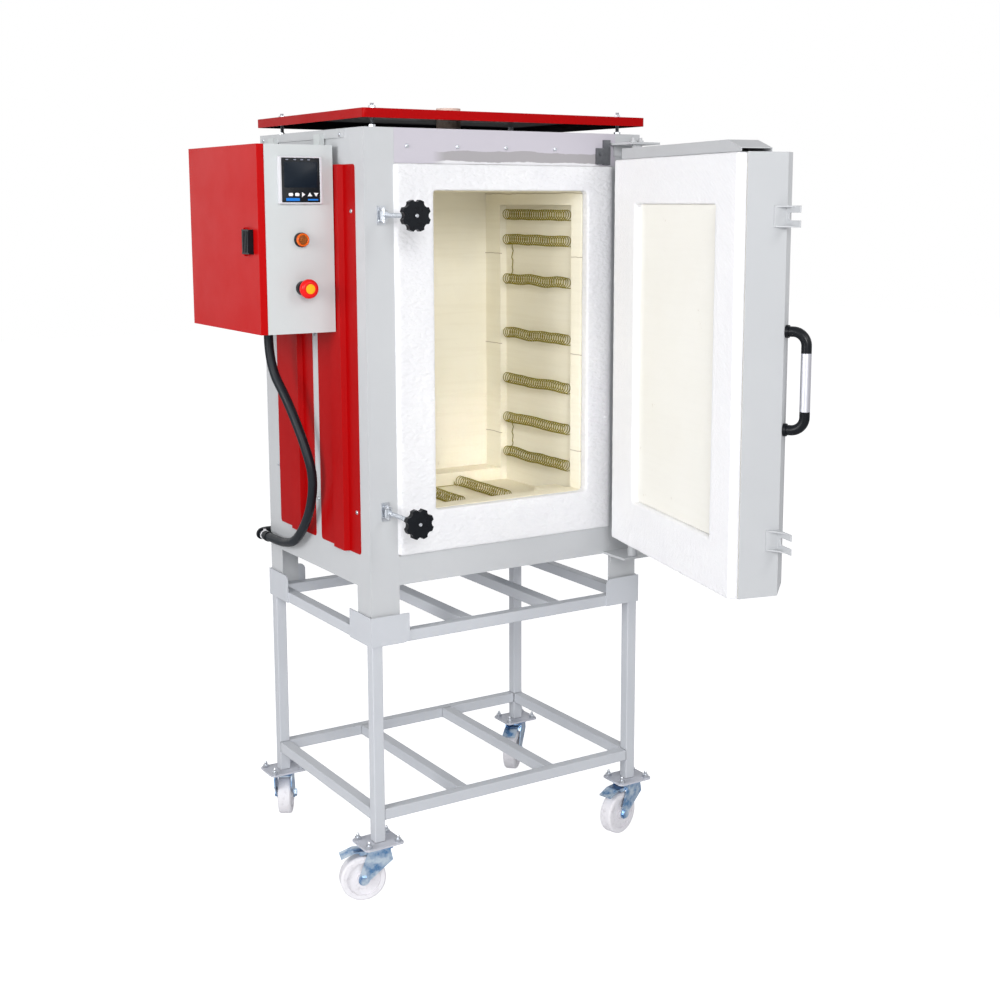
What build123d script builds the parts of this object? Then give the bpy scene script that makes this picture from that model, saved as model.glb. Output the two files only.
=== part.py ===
from build123d import *
import math
import os

os.makedirs("parts", exist_ok=True)

# Ceramic kiln on a wheeled stand, in millimetres. X runs to the right, Y to the back, Z up from the floor.
# The kiln stands as it is found in use: door open by 76.5 degrees, both clamp bolts straight out.

# Stand.
left = -270.0
front = 48.5
stand_w = 697.0
stand_d = 525.0
tube = 25.0
tube_wall = 2.0
plate_top = 128.0
leg_top = 590.0
low_rail = 175.0
cross_at = 116.5
angle_leg = 30.0
angle_t = 3.0

# Casters.
plate_w = 93.0
plate_d = 77.0
plate_t = 4.0
wheel_r = 50.0
wheel_w = 32.0
trail = 35.0
fork_gap = 38.0
fork_t = 3.0
axle_r = 6.0
race_r = 31.0
race_h = 5.0
pin_fit = 0.1
clear = 0.3
seam = 0.1
bolt_x = 35.0
bolt_y = 27.0
swivel_fl = 163.0
swivel_fr = 195.0
swivel_rr = 225.0
swivel_rl = 60.0

# Corner cups that hold the feet of the kiln.
cup_t = 3.0
cup_low = 565.0
cup_high = 629.0
cup_wing_x = 92.0
cup_wing_y = 103.0

# Steel casing.
casing_x = 2.0
casing_y = 5.7
casing_back = 527.0
sheet = 1.5
post_front = 68.0
post_side = 63.0
post_front_right = 77.0
casing_top = 1644.0
side_rail_low = 686.0
side_rail_high = 762.0
front_rail_low = 690.0
front_rail_high = 753.0
header_low = 1573.0
deck_drop = 1.0

# Ribbed side panels.
panel_t = 1.0
panel_low = 756.0
panel_high = 1571.0
panel_len = 193.0
panel_a = 47.0
panel_b = 268.0
rib_from = 53.0
rib_len = 50.0
rib_h = 11.0
rib_slope = 4.0

# Roof.
roof_w = 704.0
roof_d = 537.0
roof_low = 1662.0
roof_high = 1681.0
roof_t = 1.2
stud_in = 40.0
stud_r = 4.0
vent_r = 27.5
vent_bore = 18.0
vent_top = 1703.0
vent_y = 265.0

# Firing chamber.
mouth_x0 = 158.6
mouth_x1 = 547.5
hearth_z = 845.0
mouth_top = 1518.0
face_y = -2.4
face_t = 24.4
face_x0 = 69.5
face_x1 = 618.0
face_low = 753.0
face_high = 1573.0
jamb_back = 62.0
strip_front = 364.0
chamber_back = 430.0
recess = 17.5
brick = 88.0
hearth_drop = 30.0
slab = 75.0
probe_r = 6.0

# Heating elements.
coil_r = 11.2
wire_r = 1.8
tail_step = 5.0
coil_turns = 6
coil_front = 80.0
coil_back = 346.0
coil_off = 12.5
coil_z1 = 1465.0
coil_z2 = 1406.0
coil_z3 = 1312.0
coil_z4 = 1182.0
coil_z5 = 1070.0
coil_z6 = 975.0
coil_z7 = 890.0
floor_coil_x = 62.0
floor_turns = 7

# Door, in its own directions: u from the hinge edge to the free edge, w outwards, z up.
door_open = 76.5
hinge_x = 639.3
hinge_y = -59.4
door_w = 580.7
door_low = 742.0
door_high = 1586.0
door_edge_u = 2.7
door_gap = 0.5
blanket_t = 22.9
door_side_t = 106.4
bevel = 20.0
door_sheet = 1.5
panel_u0 = 115.6
panel_u1 = 492.7
panel_z0 = 847.0
panel_z1 = 1490.0
panel_recess = 15.0
cowl_h = 23.0
cowl_u0 = 26.0
cowl_u1 = 525.0
cowl_w0 = 8.0
cowl_w1 = 72.0

# Hinges.
hinge_pin_r = 5.0
hinge_fit = 0.05
collar_r = 11.0
lug_t = 4.0
top_plate_z = 1619.0
low_plate_z = 690.0
hinge_plate_t = 5.0

# Clamps.
clamp_x = 39.0
clamp_pivot_y = -8.0
clamp_z1 = 1468.0
clamp_z2 = 853.0
rod_r = 5.0
rod_len = 125.0
notch_h = 14.0
fork_h = 40.0
fork_reach = 52.0
fork_bar = 3.0
knob_r = 31.5
hub_r = 13.0
hub_len = 19.0
head_t = 13.0
washer_r = 11.0
washer_t = 2.0
washer_at = 103.5

# Handle.
handle_z0 = 1065.0
handle_z1 = 1253.0
grip_z0 = 1102.0
grip_z1 = 1213.0
grip_r = 10.0
grip_out = 40.0

# Control box.
box_x1 = -12.0
box_w = 151.7
box_y0 = 120.6
box_d = 381.0
box_low = 1225.0
box_high = 1610.5
box_sheet = 1.5
lid_t = 15.6
lid_gap = 0.3
ctrl_size = 96.0
ctrl_z = 1538.5
ctrl_x = -87.3
ctrl_cut = 92.0
ctrl_proud = 9.0
key_w = 8.0
key_h = 6.0
key_pitch = 14.0
key_z = 1509.5
key_travel = 0.5
lamp_x = -87.3
lamp_z = 1417.7
stop_x = -85.4
stop_z = 1318.5
stop_r = 20.0
stop_travel = 4.0
latch_z = 1414.0
latch_h = 50.0

# Hose.
hose_r = 10.25
hose_x = -20.0
hose_end_y = 527.3
hose_end_z = 715.0

right = left + stand_w
back = front + stand_d
mid_x = left + stand_w / 2
leg_in = tube / 2
cas_x0 = left + casing_x
cas_x1 = right - casing_x
cas_y0 = front + casing_y
cas_y1 = front + casing_back
mouth_l = left + mouth_x0
mouth_r = left + mouth_x1
chamber_mid = (mouth_l + mouth_r) / 2
fibre_front = front + face_y
jamb_y = front + jamb_back
strip_y = front + strip_front
probe_z = mouth_top - 90
wall_y = front + chamber_back


def block(x0, x1, y0, y1, z0, z1, mode=Mode.ADD):
    # A box given by its six faces, cut out or added in the part that is open.
    with Locations(((x0 + x1) / 2, (y0 + y1) / 2, (z0 + z1) / 2)):
        Box(x1 - x0, y1 - y0, z1 - z0, mode=mode)


def save(name, label):
    name.part.label = label
    export_step(name.part, "parts/" + label + ".step")


# Four square tube legs of the stand.
leg_spots = [
    (left + leg_in, front + leg_in),
    (right - leg_in, front + leg_in),
    (right - leg_in, back - leg_in),
    (left + leg_in, back - leg_in),
]
with BuildPart() as stand_legs:
    with BuildSketch(Plane.XY.offset(plate_top)):
        with Locations(*leg_spots):
            Rectangle(tube, tube)
            Rectangle(tube - 2 * tube_wall, tube - 2 * tube_wall, mode=Mode.SUBTRACT)
    extrude(amount=leg_top - plate_top)

# Rails between the legs, two lower cross tubes and two upper cross angles that carry the kiln.
with BuildPart() as stand_rails:
    for z0 in (low_rail, leg_top - tube):
        for y0 in (front, back - tube):
            with BuildSketch(Plane.YZ.offset(left + tube)):
                with Locations((y0 + leg_in, z0 + leg_in)):
                    Rectangle(tube, tube)
                    Rectangle(tube - 2 * tube_wall, tube - 2 * tube_wall, mode=Mode.SUBTRACT)
            extrude(amount=stand_w - 2 * tube)
        for x0 in (left, right - tube):
            with BuildSketch(Plane.XZ.offset(-(front + tube + seam))):
                with Locations((x0 + leg_in, z0 + leg_in)):
                    Rectangle(tube, tube)
                    Rectangle(tube - 2 * tube_wall, tube - 2 * tube_wall, mode=Mode.SUBTRACT)
            extrude(amount=-(stand_d - 2 * tube - 2 * seam))
    for x0 in (mid_x - cross_at, mid_x + cross_at):
        with BuildSketch(Plane.XZ.offset(-(front + tube + seam))):
            with Locations((x0, low_rail + leg_in)):
                Rectangle(tube, tube)
                Rectangle(tube - 2 * tube_wall, tube - 2 * tube_wall, mode=Mode.SUBTRACT)
        extrude(amount=-(stand_d - 2 * tube - 2 * seam))
        y0 = front + tube + seam
        y1 = back - tube - seam
        block(x0, x0 + angle_leg, y0, y1, leg_top - angle_t, leg_top)
        block(x0, x0 + angle_t, y0, y1, leg_top - tube, leg_top - angle_t)

# Corner cups: two plain wings folded round the outside of each leg and round the foot of the casing.
with BuildPart() as corner_cups:
    for side in (-1, 1):
        face_x = mid_x + side * stand_w / 2
        for y0, way in ((front, 1), (cas_y1 + 1, -1)):
            with BuildSketch(Plane.XZ.offset(-y0)) as wing:
                with Locations((face_x - side * (cup_wing_x / 2 - cup_t), (cup_low + cup_high) / 2)):
                    Rectangle(cup_wing_x, cup_high - cup_low)
                fillet(wing.vertices().sort_by(Axis.Z)[-2:].sort_by(Axis.X)[0 if side > 0 else -1], 14)
            extrude(amount=way * cup_t)
            wing_y = y0 - way * cup_t + way * cup_wing_y / 2
            with BuildSketch(Plane.YZ.offset(face_x)) as flank:
                with Locations((wing_y, (cup_low + cup_high) / 2)):
                    Rectangle(cup_wing_y, cup_high - cup_low)
                fillet(flank.vertices().sort_by(Axis.Z)[-2:].sort_by(Axis.Y)[-1 if way > 0 else 0], 14)
            extrude(amount=side * cup_t)

# Caster plates under the legs, each with its swivel race, king pin and pin nut.
race_z = plate_top - plate_t - race_h
with BuildPart() as caster_plates:
    with BuildSketch(Plane.XY.offset(plate_top - plate_t)):
        with Locations(*leg_spots):
            RectangleRounded(plate_w, plate_d, 10)
    extrude(amount=plate_t)
    with BuildSketch(Plane.XY.offset(race_z)):
        with Locations(*leg_spots):
            Circle(race_r)
    extrude(amount=race_h)
    with BuildSketch(Plane.XY.offset(race_z - 11)):
        with Locations(*leg_spots):
            Circle(axle_r)
    extrude(amount=11)
    with BuildSketch(Plane.XY.offset(race_z - 11)):
        with Locations(*leg_spots):
            RegularPolygon(radius=10, side_count=6)
    extrude(amount=11 - 2 * clear - fork_t)

# Caster forks, wheels and brake pedals, each built on the plane of its own swivel.
caster_list = [
    ("fl", leg_spots[0], swivel_fl, True),
    ("fr", leg_spots[1], swivel_fr, True),
    ("rr", leg_spots[2], swivel_rr, True),
    ("rl", leg_spots[3], swivel_rl, False),
]
pedal_x = 24.0
pedal_z = 110.0
fork_top = race_z - clear
for tag, spot, turn, braked in caster_list:
    ahead = (math.cos(math.radians(turn)), math.sin(math.radians(turn)), 0)
    level = Plane(origin=(spot[0], spot[1], 0), x_dir=ahead, z_dir=(0, 0, 1))
    upright = Plane(origin=(spot[0], spot[1], 0), x_dir=ahead, z_dir=(ahead[1], -ahead[0], 0))
    with BuildPart() as fork:
        with BuildSketch(level.offset(fork_top - fork_t)):
            RectangleRounded(2 * race_r, fork_gap + 2 * fork_t, 8)
            Circle(axle_r + pin_fit, mode=Mode.SUBTRACT)
        extrude(amount=fork_t)
        for place in (fork_gap / 2, -fork_gap / 2 - fork_t):
            with BuildSketch(upright.offset(place)):
                with BuildLine():
                    Polyline(
                        (-race_r + 8, fork_top),
                        (race_r - 8, fork_top),
                        (trail + 12, wheel_r + 2),
                        (trail, wheel_r - 12),
                        (trail - 12, wheel_r - 2),
                        (-race_r + 2, fork_top - 28),
                        close=True,
                    )
                make_face()
                with Locations((trail, wheel_r)):
                    Circle(12)
            extrude(amount=fork_t)
        with BuildSketch(upright.offset(-fork_gap / 2 - fork_t - 4)):
            with Locations((trail, wheel_r)):
                Circle(axle_r)
        extrude(amount=fork_gap + 2 * fork_t + 8)
        for place in (-fork_gap / 2 - fork_t - 5, fork_gap / 2 + fork_t):
            with BuildSketch(upright.offset(place)):
                with Locations((trail, wheel_r)):
                    RegularPolygon(radius=9.5, side_count=6)
            extrude(amount=5)
        if braked:
            with BuildSketch(upright.offset(-fork_gap / 2)):
                with Locations((pedal_x, pedal_z)):
                    Circle(2.5)
            extrude(amount=fork_gap)
    save(fork, "caster_fork_" + tag)
    with BuildPart() as wheel:
        with BuildSketch(upright.offset(-wheel_w / 2)):
            with Locations((trail, wheel_r)):
                Circle(wheel_r)
        extrude(amount=wheel_w)
        fillet(wheel.edges().filter_by(GeomType.CIRCLE), 6)
        for place, way in ((wheel_w / 2, 1), (-wheel_w / 2, -1)):
            with BuildSketch(upright.offset(place)):
                with Locations((trail, wheel_r)):
                    Circle(37)
                    Circle(15, mode=Mode.SUBTRACT)
            extrude(amount=-way * 5, mode=Mode.SUBTRACT)
            with BuildSketch(upright.offset(place)):
                with Locations((trail, wheel_r)):
                    Circle(11)
            extrude(amount=way * 2)
        with BuildSketch(upright.offset(-wheel_w)):
            with Locations((trail, wheel_r)):
                Circle(axle_r + pin_fit)
        extrude(amount=2 * wheel_w, mode=Mode.SUBTRACT)
    save(wheel, "caster_wheel_" + tag)
    if braked:
        with BuildPart() as pedal:
            with BuildSketch(upright.offset(-fork_gap / 2 + 2)):
                with BuildLine():
                    Polyline(
                        (pedal_x - 1, pedal_z - 5),
                        (pedal_x - 1, pedal_z + 3.5),
                        (56, pedal_z + 3.5),
                        (84, pedal_z - 7),
                        (83, pedal_z - 10),
                        (55, pedal_z + 0.5),
                        (46, pedal_z + 0.5),
                        (42, pedal_z - 5.5),
                        (34, pedal_z - 5.5),
                        (32, pedal_z - 4),
                        close=True,
                    )
                make_face()
                with Locations((pedal_x, pedal_z)):
                    Circle(4.5)
                    Circle(2.5 + pin_fit, mode=Mode.SUBTRACT)
            extrude(amount=fork_gap - 4)
        save(pedal, "brake_pedal_" + tag)

# Casing frame: four folded posts, front header and bottom rail, side rails, middle strips and top deck.
with BuildPart() as casing_frame:
    with BuildSketch(Plane.XY.offset(leg_top)):
        for x0, x1, y0, y1, side, way in (
            (cas_x0, cas_x0 + post_front, cas_y0, cas_y0 + post_side, 1, 1),
            (cas_x1 - post_front_right, cas_x1, cas_y0, cas_y0 + post_side, -1, 1),
            (cas_x1 - post_front, cas_x1, cas_y1 - post_side, cas_y1, -1, -1),
            (cas_x0, cas_x0 + post_front, cas_y1 - post_side, cas_y1, 1, -1),
        ):
            with Locations(((x0 + x1) / 2, (y0 + y1) / 2)):
                Rectangle(x1 - x0, y1 - y0)
            with Locations(((x0 + x1) / 2 + side * sheet, (y0 + y1) / 2 + way * sheet)):
                Rectangle(x1 - x0, y1 - y0, mode=Mode.SUBTRACT)
    extrude(amount=casing_top - leg_top)
    span_l = cas_x0 + post_front + seam
    span_r = cas_x1 - post_front_right - seam
    block(span_l, span_r, cas_y0, cas_y0 + sheet, header_low, casing_top)
    block(span_l, span_r, cas_y0, cas_y0 + sheet, front_rail_low, front_rail_high)
    strip_mid = front + (panel_a + panel_len + panel_b) / 2
    for x0 in (cas_x0, cas_x1 - sheet):
        y0 = cas_y0 + post_side + seam
        y1 = cas_y1 - post_side - seam
        rail_top = side_rail_high - seam
        band_low = panel_high - 6
        block(x0, x0 + sheet, y0, y1, side_rail_low, rail_top)
        block(x0, x0 + sheet, y0, y1, band_low, casing_top)
        block(x0, x0 + sheet, strip_mid - 22, strip_mid + 22, side_rail_high, band_low - seam)
    for x0 in (cas_x0 - 3, cas_x1):
        block(x0, x0 + 3, front + 89.5, front + 520, 1625.5, 1640)
    deck_z = casing_top - deck_drop
    deck_x0 = cas_x0 + sheet + seam
    deck_x1 = cas_x1 - sheet - seam
    deck_y0 = cas_y0 + sheet + seam
    deck_y1 = cas_y1 - 2 * sheet - seam
    block(deck_x0, deck_x1, deck_y0, deck_y1, deck_z - sheet, deck_z)
    with Locations((mid_x, front + vent_y, deck_z - sheet / 2)):
        Cylinder(vent_r + clear, 4 * sheet, mode=Mode.SUBTRACT)
    block(deck_x0, deck_x1, deck_y0, deck_y1, front_rail_low, front_rail_low + sheet)

# Two ribbed sheet panels on each side.
with BuildPart() as side_panels:
    for x0, way in ((cas_x0, -1), (cas_x1, 1)):
        for start in (front + panel_a, front + panel_b):
            a = start + rib_from
            b = a + rib_slope
            c = b + rib_len
            d = c + rib_slope
            end = start + panel_len
            out = x0 + way * panel_t
            crest = x0 + way * rib_h
            skin = x0 + way * (rib_h + panel_t)
            with BuildSketch(Plane.XY.offset(panel_low)):
                with BuildLine():
                    Polyline(
                        (x0, start),
                        (x0, a),
                        (crest, b),
                        (crest, c),
                        (x0, d),
                        (x0, end),
                        (out, end),
                        (out, d + 0.3),
                        (skin, c + 0.3),
                        (skin, b - 0.3),
                        (out, a - 0.3),
                        (out, start),
                        close=True,
                    )
                make_face()
            extrude(amount=panel_high - panel_low)
    corner_cuts = side_panels.edges().filter_by(Axis.X)
    fillet(corner_cuts.filter_by(lambda e: e.length < panel_t + 0.2), 8)

# Plain rear panel between the rear posts.
with BuildPart() as rear_panel:
    block(cas_x0 + post_front, cas_x1 - post_front, cas_y1 - sheet, cas_y1, side_rail_low, casing_top)
    for x0 in (cas_x0 + post_front, cas_x1 - post_front):
        block(x0 - 12, x0 + 12, cas_y1 - 2 * sheet, cas_y1 - sheet, front_rail_low + 2 * sheet, casing_top - 3)

# Roof cover: a shallow pan turned down at its four edges, held above the casing on four studs.
roof_x = left - 0.4 + roof_w / 2
roof_y = front - 0.4 + roof_d / 2
stud_spots = [
    (left + stud_in, front + stud_in),
    (right - stud_in, front + stud_in),
    (right - stud_in, front + 488),
    (left + stud_in, front + 488),
]
with BuildPart() as roof_cover:
    with BuildSketch(Plane.XY.offset(roof_low)):
        with Locations((roof_x, roof_y)):
            RectangleRounded(roof_w, roof_d, 6)
    extrude(amount=roof_high - roof_low)
    with BuildSketch(Plane.XY.offset(roof_low)):
        with Locations((roof_x, roof_y)):
            RectangleRounded(roof_w - 2 * roof_t, roof_d - 2 * roof_t, 4.8)
    extrude(amount=roof_high - roof_low - roof_t, mode=Mode.SUBTRACT)
    with BuildSketch(Plane.XY.offset(roof_high - 2 * roof_t)):
        with Locations((mid_x, front + vent_y)):
            Circle(vent_r + clear)
        with Locations(*stud_spots):
            Circle(stud_r + clear)
    extrude(amount=4 * roof_t, mode=Mode.SUBTRACT)

# Ceramic vent tube from the chamber through the casing and the roof cover.
with BuildPart() as vent_tube:
    with BuildSketch(Plane.XY.offset(mouth_top)):
        with Locations((mid_x, front + vent_y)):
            Circle(vent_r)
            Circle(vent_bore, mode=Mode.SUBTRACT)
    extrude(amount=vent_top - mouth_top)

# Fasteners: roof studs with nuts, caster bolts with nuts, panel and header screws.
screw_r = 4.5
screw_h = 2.6
with BuildPart() as fasteners:
    with BuildSketch(Plane.XY.offset(deck_z)):
        with Locations(*stud_spots):
            Circle(stud_r)
    extrude(amount=roof_high + 12 - deck_z)
    for z0 in (roof_high - roof_t - 7, roof_high, deck_z):
        with BuildSketch(Plane.XY.offset(z0)):
            with Locations(*stud_spots):
                RegularPolygon(radius=7.5, side_count=6)
        extrude(amount=7)
    for spot in leg_spots:
        with Locations((spot[0], spot[1], 0)):
            with GridLocations(2 * bolt_x, 2 * bolt_y, 2, 2):
                with Locations((0, 0, plate_top + 3)):
                    Cylinder(7, 6)
                with Locations((0, 0, plate_top + 9)):
                    Cone(4, 1.5, 6)
                with Locations((0, 0, plate_top - plate_t - 1.5)):
                    Cylinder(6, 3)
    for x0 in (100.5, 219.6, 339.4, 464.5):
        with Locations(Location((left + x0, cas_y0 - screw_h / 2, 1607.5), (90, 0, 0))):
            Cylinder(screw_r, screw_h)
    side_spots = [
        (front + panel_a + 17, 1476),
        (front + panel_a + 14, 846),
        (front + panel_a + panel_len + 14, 844),
        (front + panel_b + panel_len + 7, 890),
        (front + panel_a + panel_len + 14, 1209),
        (front + panel_a + panel_len + 14, 1540),
        (front + panel_b + panel_len + 7, 1500),
    ]
    for y0, z0 in side_spots:
        for x0, way in ((cas_x0, -1), (cas_x1, 1)):
            lift = panel_t if y0 < front + panel_a + 20 else 0
            with Locations(Location((x0 + way * (lift + screw_h / 2), y0, z0), (0, 90, 0))):
                Cylinder(screw_r, screw_h)
    for y0 in (front + 107.5, front + 500):
        for x0, way in ((cas_x0 - 3, -1), (cas_x1 + 3, 1)):
            with Locations(Location((x0 + way * screw_h / 2, y0, 1632), (0, 90, 0))):
                Cylinder(screw_r, screw_h)

# Chamber walls: two side walls with a recess for the heating elements, and the back wall.
with BuildPart() as chamber_walls:
    wall_low = hearth_z - hearth_drop
    brick_y = fibre_front + face_t
    block(mouth_l - brick, mouth_l, brick_y, wall_y, wall_low, mouth_top)
    block(mouth_l - recess, mouth_l, jamb_y, strip_y, wall_low, mouth_top - 30, mode=Mode.SUBTRACT)
    block(mouth_r, mouth_r + 70, brick_y, wall_y, wall_low, mouth_top)
    block(mouth_r, mouth_r + recess, jamb_y, strip_y, wall_low, mouth_top - 30, mode=Mode.SUBTRACT)
    block(mouth_l - brick, mouth_r + 70, wall_y, wall_y + 60, wall_low, mouth_top)
    with Locations(Location((chamber_mid, wall_y + 5, probe_z), (90, 0, 0))):
        Cylinder(probe_r + hinge_fit, 10, mode=Mode.SUBTRACT)

# Chamber floor slab with the trough of the two floor elements.
trough = floor_coil_x + coil_r + wire_r + 12
with BuildPart() as hearth_slab:
    block(mouth_l - brick, mouth_r + 70, brick_y, wall_y + 60, wall_low - slab, wall_low)
    block(mouth_l, mouth_r, brick_y, jamb_y, wall_low, hearth_z)
    block(mouth_l, mouth_r, strip_y, wall_y, wall_low, hearth_z)
    block(mouth_r - 60, mouth_r, jamb_y, jamb_y + 60, wall_low, hearth_z - 3)
    block(mouth_l, mouth_l + 60, jamb_y, jamb_y + 60, wall_low, hearth_z - 3)

# Chamber ceiling slab round the vent tube.
with BuildPart() as ceiling_slab:
    block(mouth_l - brick, mouth_r + 70, brick_y, wall_y + 60, mouth_top, mouth_top + slab)
    with Locations((mid_x, front + vent_y, mouth_top + slab / 2)):
        Cylinder(vent_r, slab + 2, mode=Mode.SUBTRACT)

# Backing fibre between the chamber and the casing.
with BuildPart() as backing_fibre:
    inner_low = front_rail_low + sheet
    inner_top = deck_z - sheet
    rear_face = cas_y1 - 2 * sheet
    block(cas_x0 + sheet, cas_x1 - sheet, brick_y, rear_face, inner_low, wall_low - slab)
    block(cas_x0 + sheet, cas_x1 - sheet, brick_y, rear_face, mouth_top + slab, inner_top)
    with Locations((mid_x, front + vent_y, (mouth_top + slab + inner_top) / 2)):
        Cylinder(vent_r, inner_top, mode=Mode.SUBTRACT)
    block(cas_x0 + sheet, mouth_l - brick, brick_y, rear_face, wall_low - slab, mouth_top + slab)
    block(mouth_r + 70, cas_x1 - sheet, brick_y, rear_face, wall_low - slab, mouth_top + slab)
    block(mouth_l - brick, mouth_r + 70, wall_y + 60, rear_face, wall_low - slab, mouth_top + slab)

# Fibre frame on the front face, round the mouth of the chamber.
with BuildPart() as fibre_frame:
    block(left + face_x0 + 1, left + face_x1 - 1, fibre_front, fibre_front + face_t, face_low, face_high)
    block(mouth_l, mouth_r, fibre_front - 1, fibre_front + face_t + 1, hearth_z, mouth_top, mode=Mode.SUBTRACT)
    bridge = cas_y0 + sheet
    block(left + face_x0 - 20, left + face_x0 + 1, bridge, fibre_front + face_t, face_low, face_high)
    block(left + face_x1 - 1, left + face_x1 + 20, bridge, fibre_front + face_t, face_low, face_high)


def joined(p0, t0, p1, t1):
    # Meeting point of the two arcs that leave p0 along t0 and reach p1 along t1.
    v = p1 - p0
    t = t0 + t1
    k = 2 * (1 - t0.dot(t1))
    b = v.dot(t)
    if k < 1e-9:
        reach = v.dot(v) / (4 * v.dot(t1))
    else:
        reach = (-b + math.sqrt(b * b + k * v.dot(v))) / k
    q0 = p0 + t0 * reach
    q1 = p1 - t1 * reach
    return (q0 + q1) / 2, (q1 - q0).normalized()


def coil_route(start, along, side, turns, pitch):
    # Points and directions of a coil every half turn, from one short tail out of the wall to the other.
    up = along.cross(side)
    slant = pitch / (2 * math.pi * coil_r)
    tail = side * (2 * wire_r)
    foot = start - side * coil_off - up * coil_r - along * tail_step
    route = [(foot, side), (foot + tail, side)]
    for n in range(2 * turns):
        a = math.pi * n
        place = start + along * (pitch * n / 2) + up * (-coil_r * math.cos(a)) + side * (coil_r * math.sin(a))
        way = (up * math.sin(a) + side * math.cos(a) + along * slant).normalized()
        route.append((place, way))
    head = place - side * coil_off + along * tail_step
    route.append((head + tail, -side))
    route.append((head, -side))
    return route


# Heating elements: wound wire coils along both walls and in the floor trough.
coil_levels = (coil_z1, coil_z2, coil_z3, coil_z4, coil_z5, coil_z6, coil_z7)
coil_pitch = (coil_back - coil_front) / coil_turns
floor_pitch = (coil_back - coil_front - 40) / floor_turns
for pitch in (coil_pitch, floor_pitch):
    element_gap = pitch * math.cos(math.atan(pitch / (2 * math.pi * coil_r))) - 2 * wire_r
    print("least gap of an element wire to itself", round(element_gap, 2))
coil_runs = []
for level_z in coil_levels:
    for wall_x, way in ((mouth_r + recess, -1), (mouth_l - recess, 1)):
        begin = Vector(wall_x + way * coil_off, front + coil_front, level_z)
        coil_runs.append((begin, Vector(0, 1, 0), Vector(way, 0, 0), coil_turns, coil_pitch))
for x0 in (chamber_mid - floor_coil_x, chamber_mid + floor_coil_x):
    begin = Vector(x0, front + coil_front + 40, wall_low + coil_off)
    coil_runs.append((begin, Vector(0, 1, 0), Vector(0, 0, 1), floor_turns, floor_pitch))
with BuildPart() as heating_elements:
    for start, along, side, turns, pitch in coil_runs:
        route = coil_route(start, along, side, turns, pitch)
        with BuildLine() as path:
            Line(route[0][0], route[1][0])
            for one, two in zip(route[1:-2], route[2:-1]):
                mid, mid_way = joined(one[0], one[1], two[0], two[1])
                TangentArc(one[0], mid, tangent=one[1])
                TangentArc(mid, two[0], tangent=mid_way)
            Line(route[-2][0], route[-1][0])
        with BuildSketch(Plane(origin=route[0][0], z_dir=side)):
            Circle(wire_r)
        sweep(path=path.wires()[0])

# Thermocouple sheath through the back wall into the chamber.
with BuildPart() as thermocouple:
    with Locations(Location((chamber_mid, wall_y - 20, probe_z), (90, 0, 0))):
        Cylinder(probe_r, 60)
    fillet(thermocouple.edges().group_by(Axis.Y)[0], probe_r - 1)

# Door switch on the header, a bar and a block with its plunger.
with BuildPart() as door_switch:
    block(left + 592, left + 609, front - 1.5, cas_y0, 1576, 1630)
    block(left + 573, left + 592, front - 1.5, cas_y0, 1577, 1612)
    with Locations(Location((left + 582.5, front - 1.5 - 1.5, 1600), (90, 0, 0))):
        Cylinder(4, 3)

# Door, built on its own plane at the angle that it stands open.
turn = math.radians(door_open)
hx = left + hinge_x
hy = front + hinge_y
hinge_w = face_y - door_gap - hinge_y
du = (-math.cos(turn), -math.sin(turn), 0)
dw = (math.sin(turn), -math.cos(turn), 0)
door_x = hx + door_edge_u * du[0] - hinge_w * dw[0]
door_y = hy + door_edge_u * du[1] - hinge_w * dw[1]
door = Plane(origin=(door_x, door_y, 0), x_dir=du, z_dir=(0, 0, 1))
door_t = door_side_t + bevel
with BuildPart() as door_lining:
    with BuildSketch(door.offset(door_low + door_sheet)):
        with BuildLine():
            Polyline(
                (door_sheet, blanket_t),
                (door_sheet, door_side_t - 0.6),
                (bevel + 0.6, door_t - door_sheet),
                (door_w - bevel - 0.6, door_t - door_sheet),
                (door_w - door_sheet, door_side_t - 0.6),
                (door_w - door_sheet, blanket_t),
                close=True,
            )
        make_face()
    extrude(amount=door_high - door_low - 2 * door_sheet)
    low_edges = door_lining.edges().group_by(Axis.Z)[0].filter_by(Plane.XY)
    long_edges = low_edges.filter_by(lambda e: e.length > door_w - 2 * bevel - 4 and e.length < door_w - 2 * bevel)
    chamfer(long_edges, bevel - 1)
    with BuildSketch(door.offset(panel_z0)):
        with Locations(((panel_u0 + panel_u1) / 2, (panel_recess + blanket_t) / 2)):
            Rectangle(panel_u1 - panel_u0, blanket_t - panel_recess)
    extrude(amount=panel_z1 - panel_z0)
with BuildPart() as door_shell:
    with BuildSketch(door.offset(door_low)):
        with BuildLine():
            Polyline(
                (0, blanket_t),
                (0, door_side_t),
                (bevel, door_t),
                (door_w - bevel, door_t),
                (door_w, door_side_t),
                (door_w, blanket_t),
                close=True,
            )
        make_face()
    extrude(amount=door_high - door_low)
    low_edges = door_shell.edges().group_by(Axis.Z)[0].filter_by(Plane.XY)
    long_edges = low_edges.filter_by(lambda e: e.length > door_w - 2 * bevel - 1 and e.length < door_w - 2 * bevel + 1)
    chamfer(long_edges, bevel)
    add(door_lining.part, mode=Mode.SUBTRACT)
    for z0 in (door_low - lug_t, door_high):
        with BuildSketch(door.offset(z0)):
            with Locations((2, hinge_w)):
                RectangleRounded(44, 34, 8)
            with Locations((-door_edge_u, hinge_w)):
                Circle(hinge_pin_r + hinge_fit, mode=Mode.SUBTRACT)
        extrude(amount=lug_t)
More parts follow.
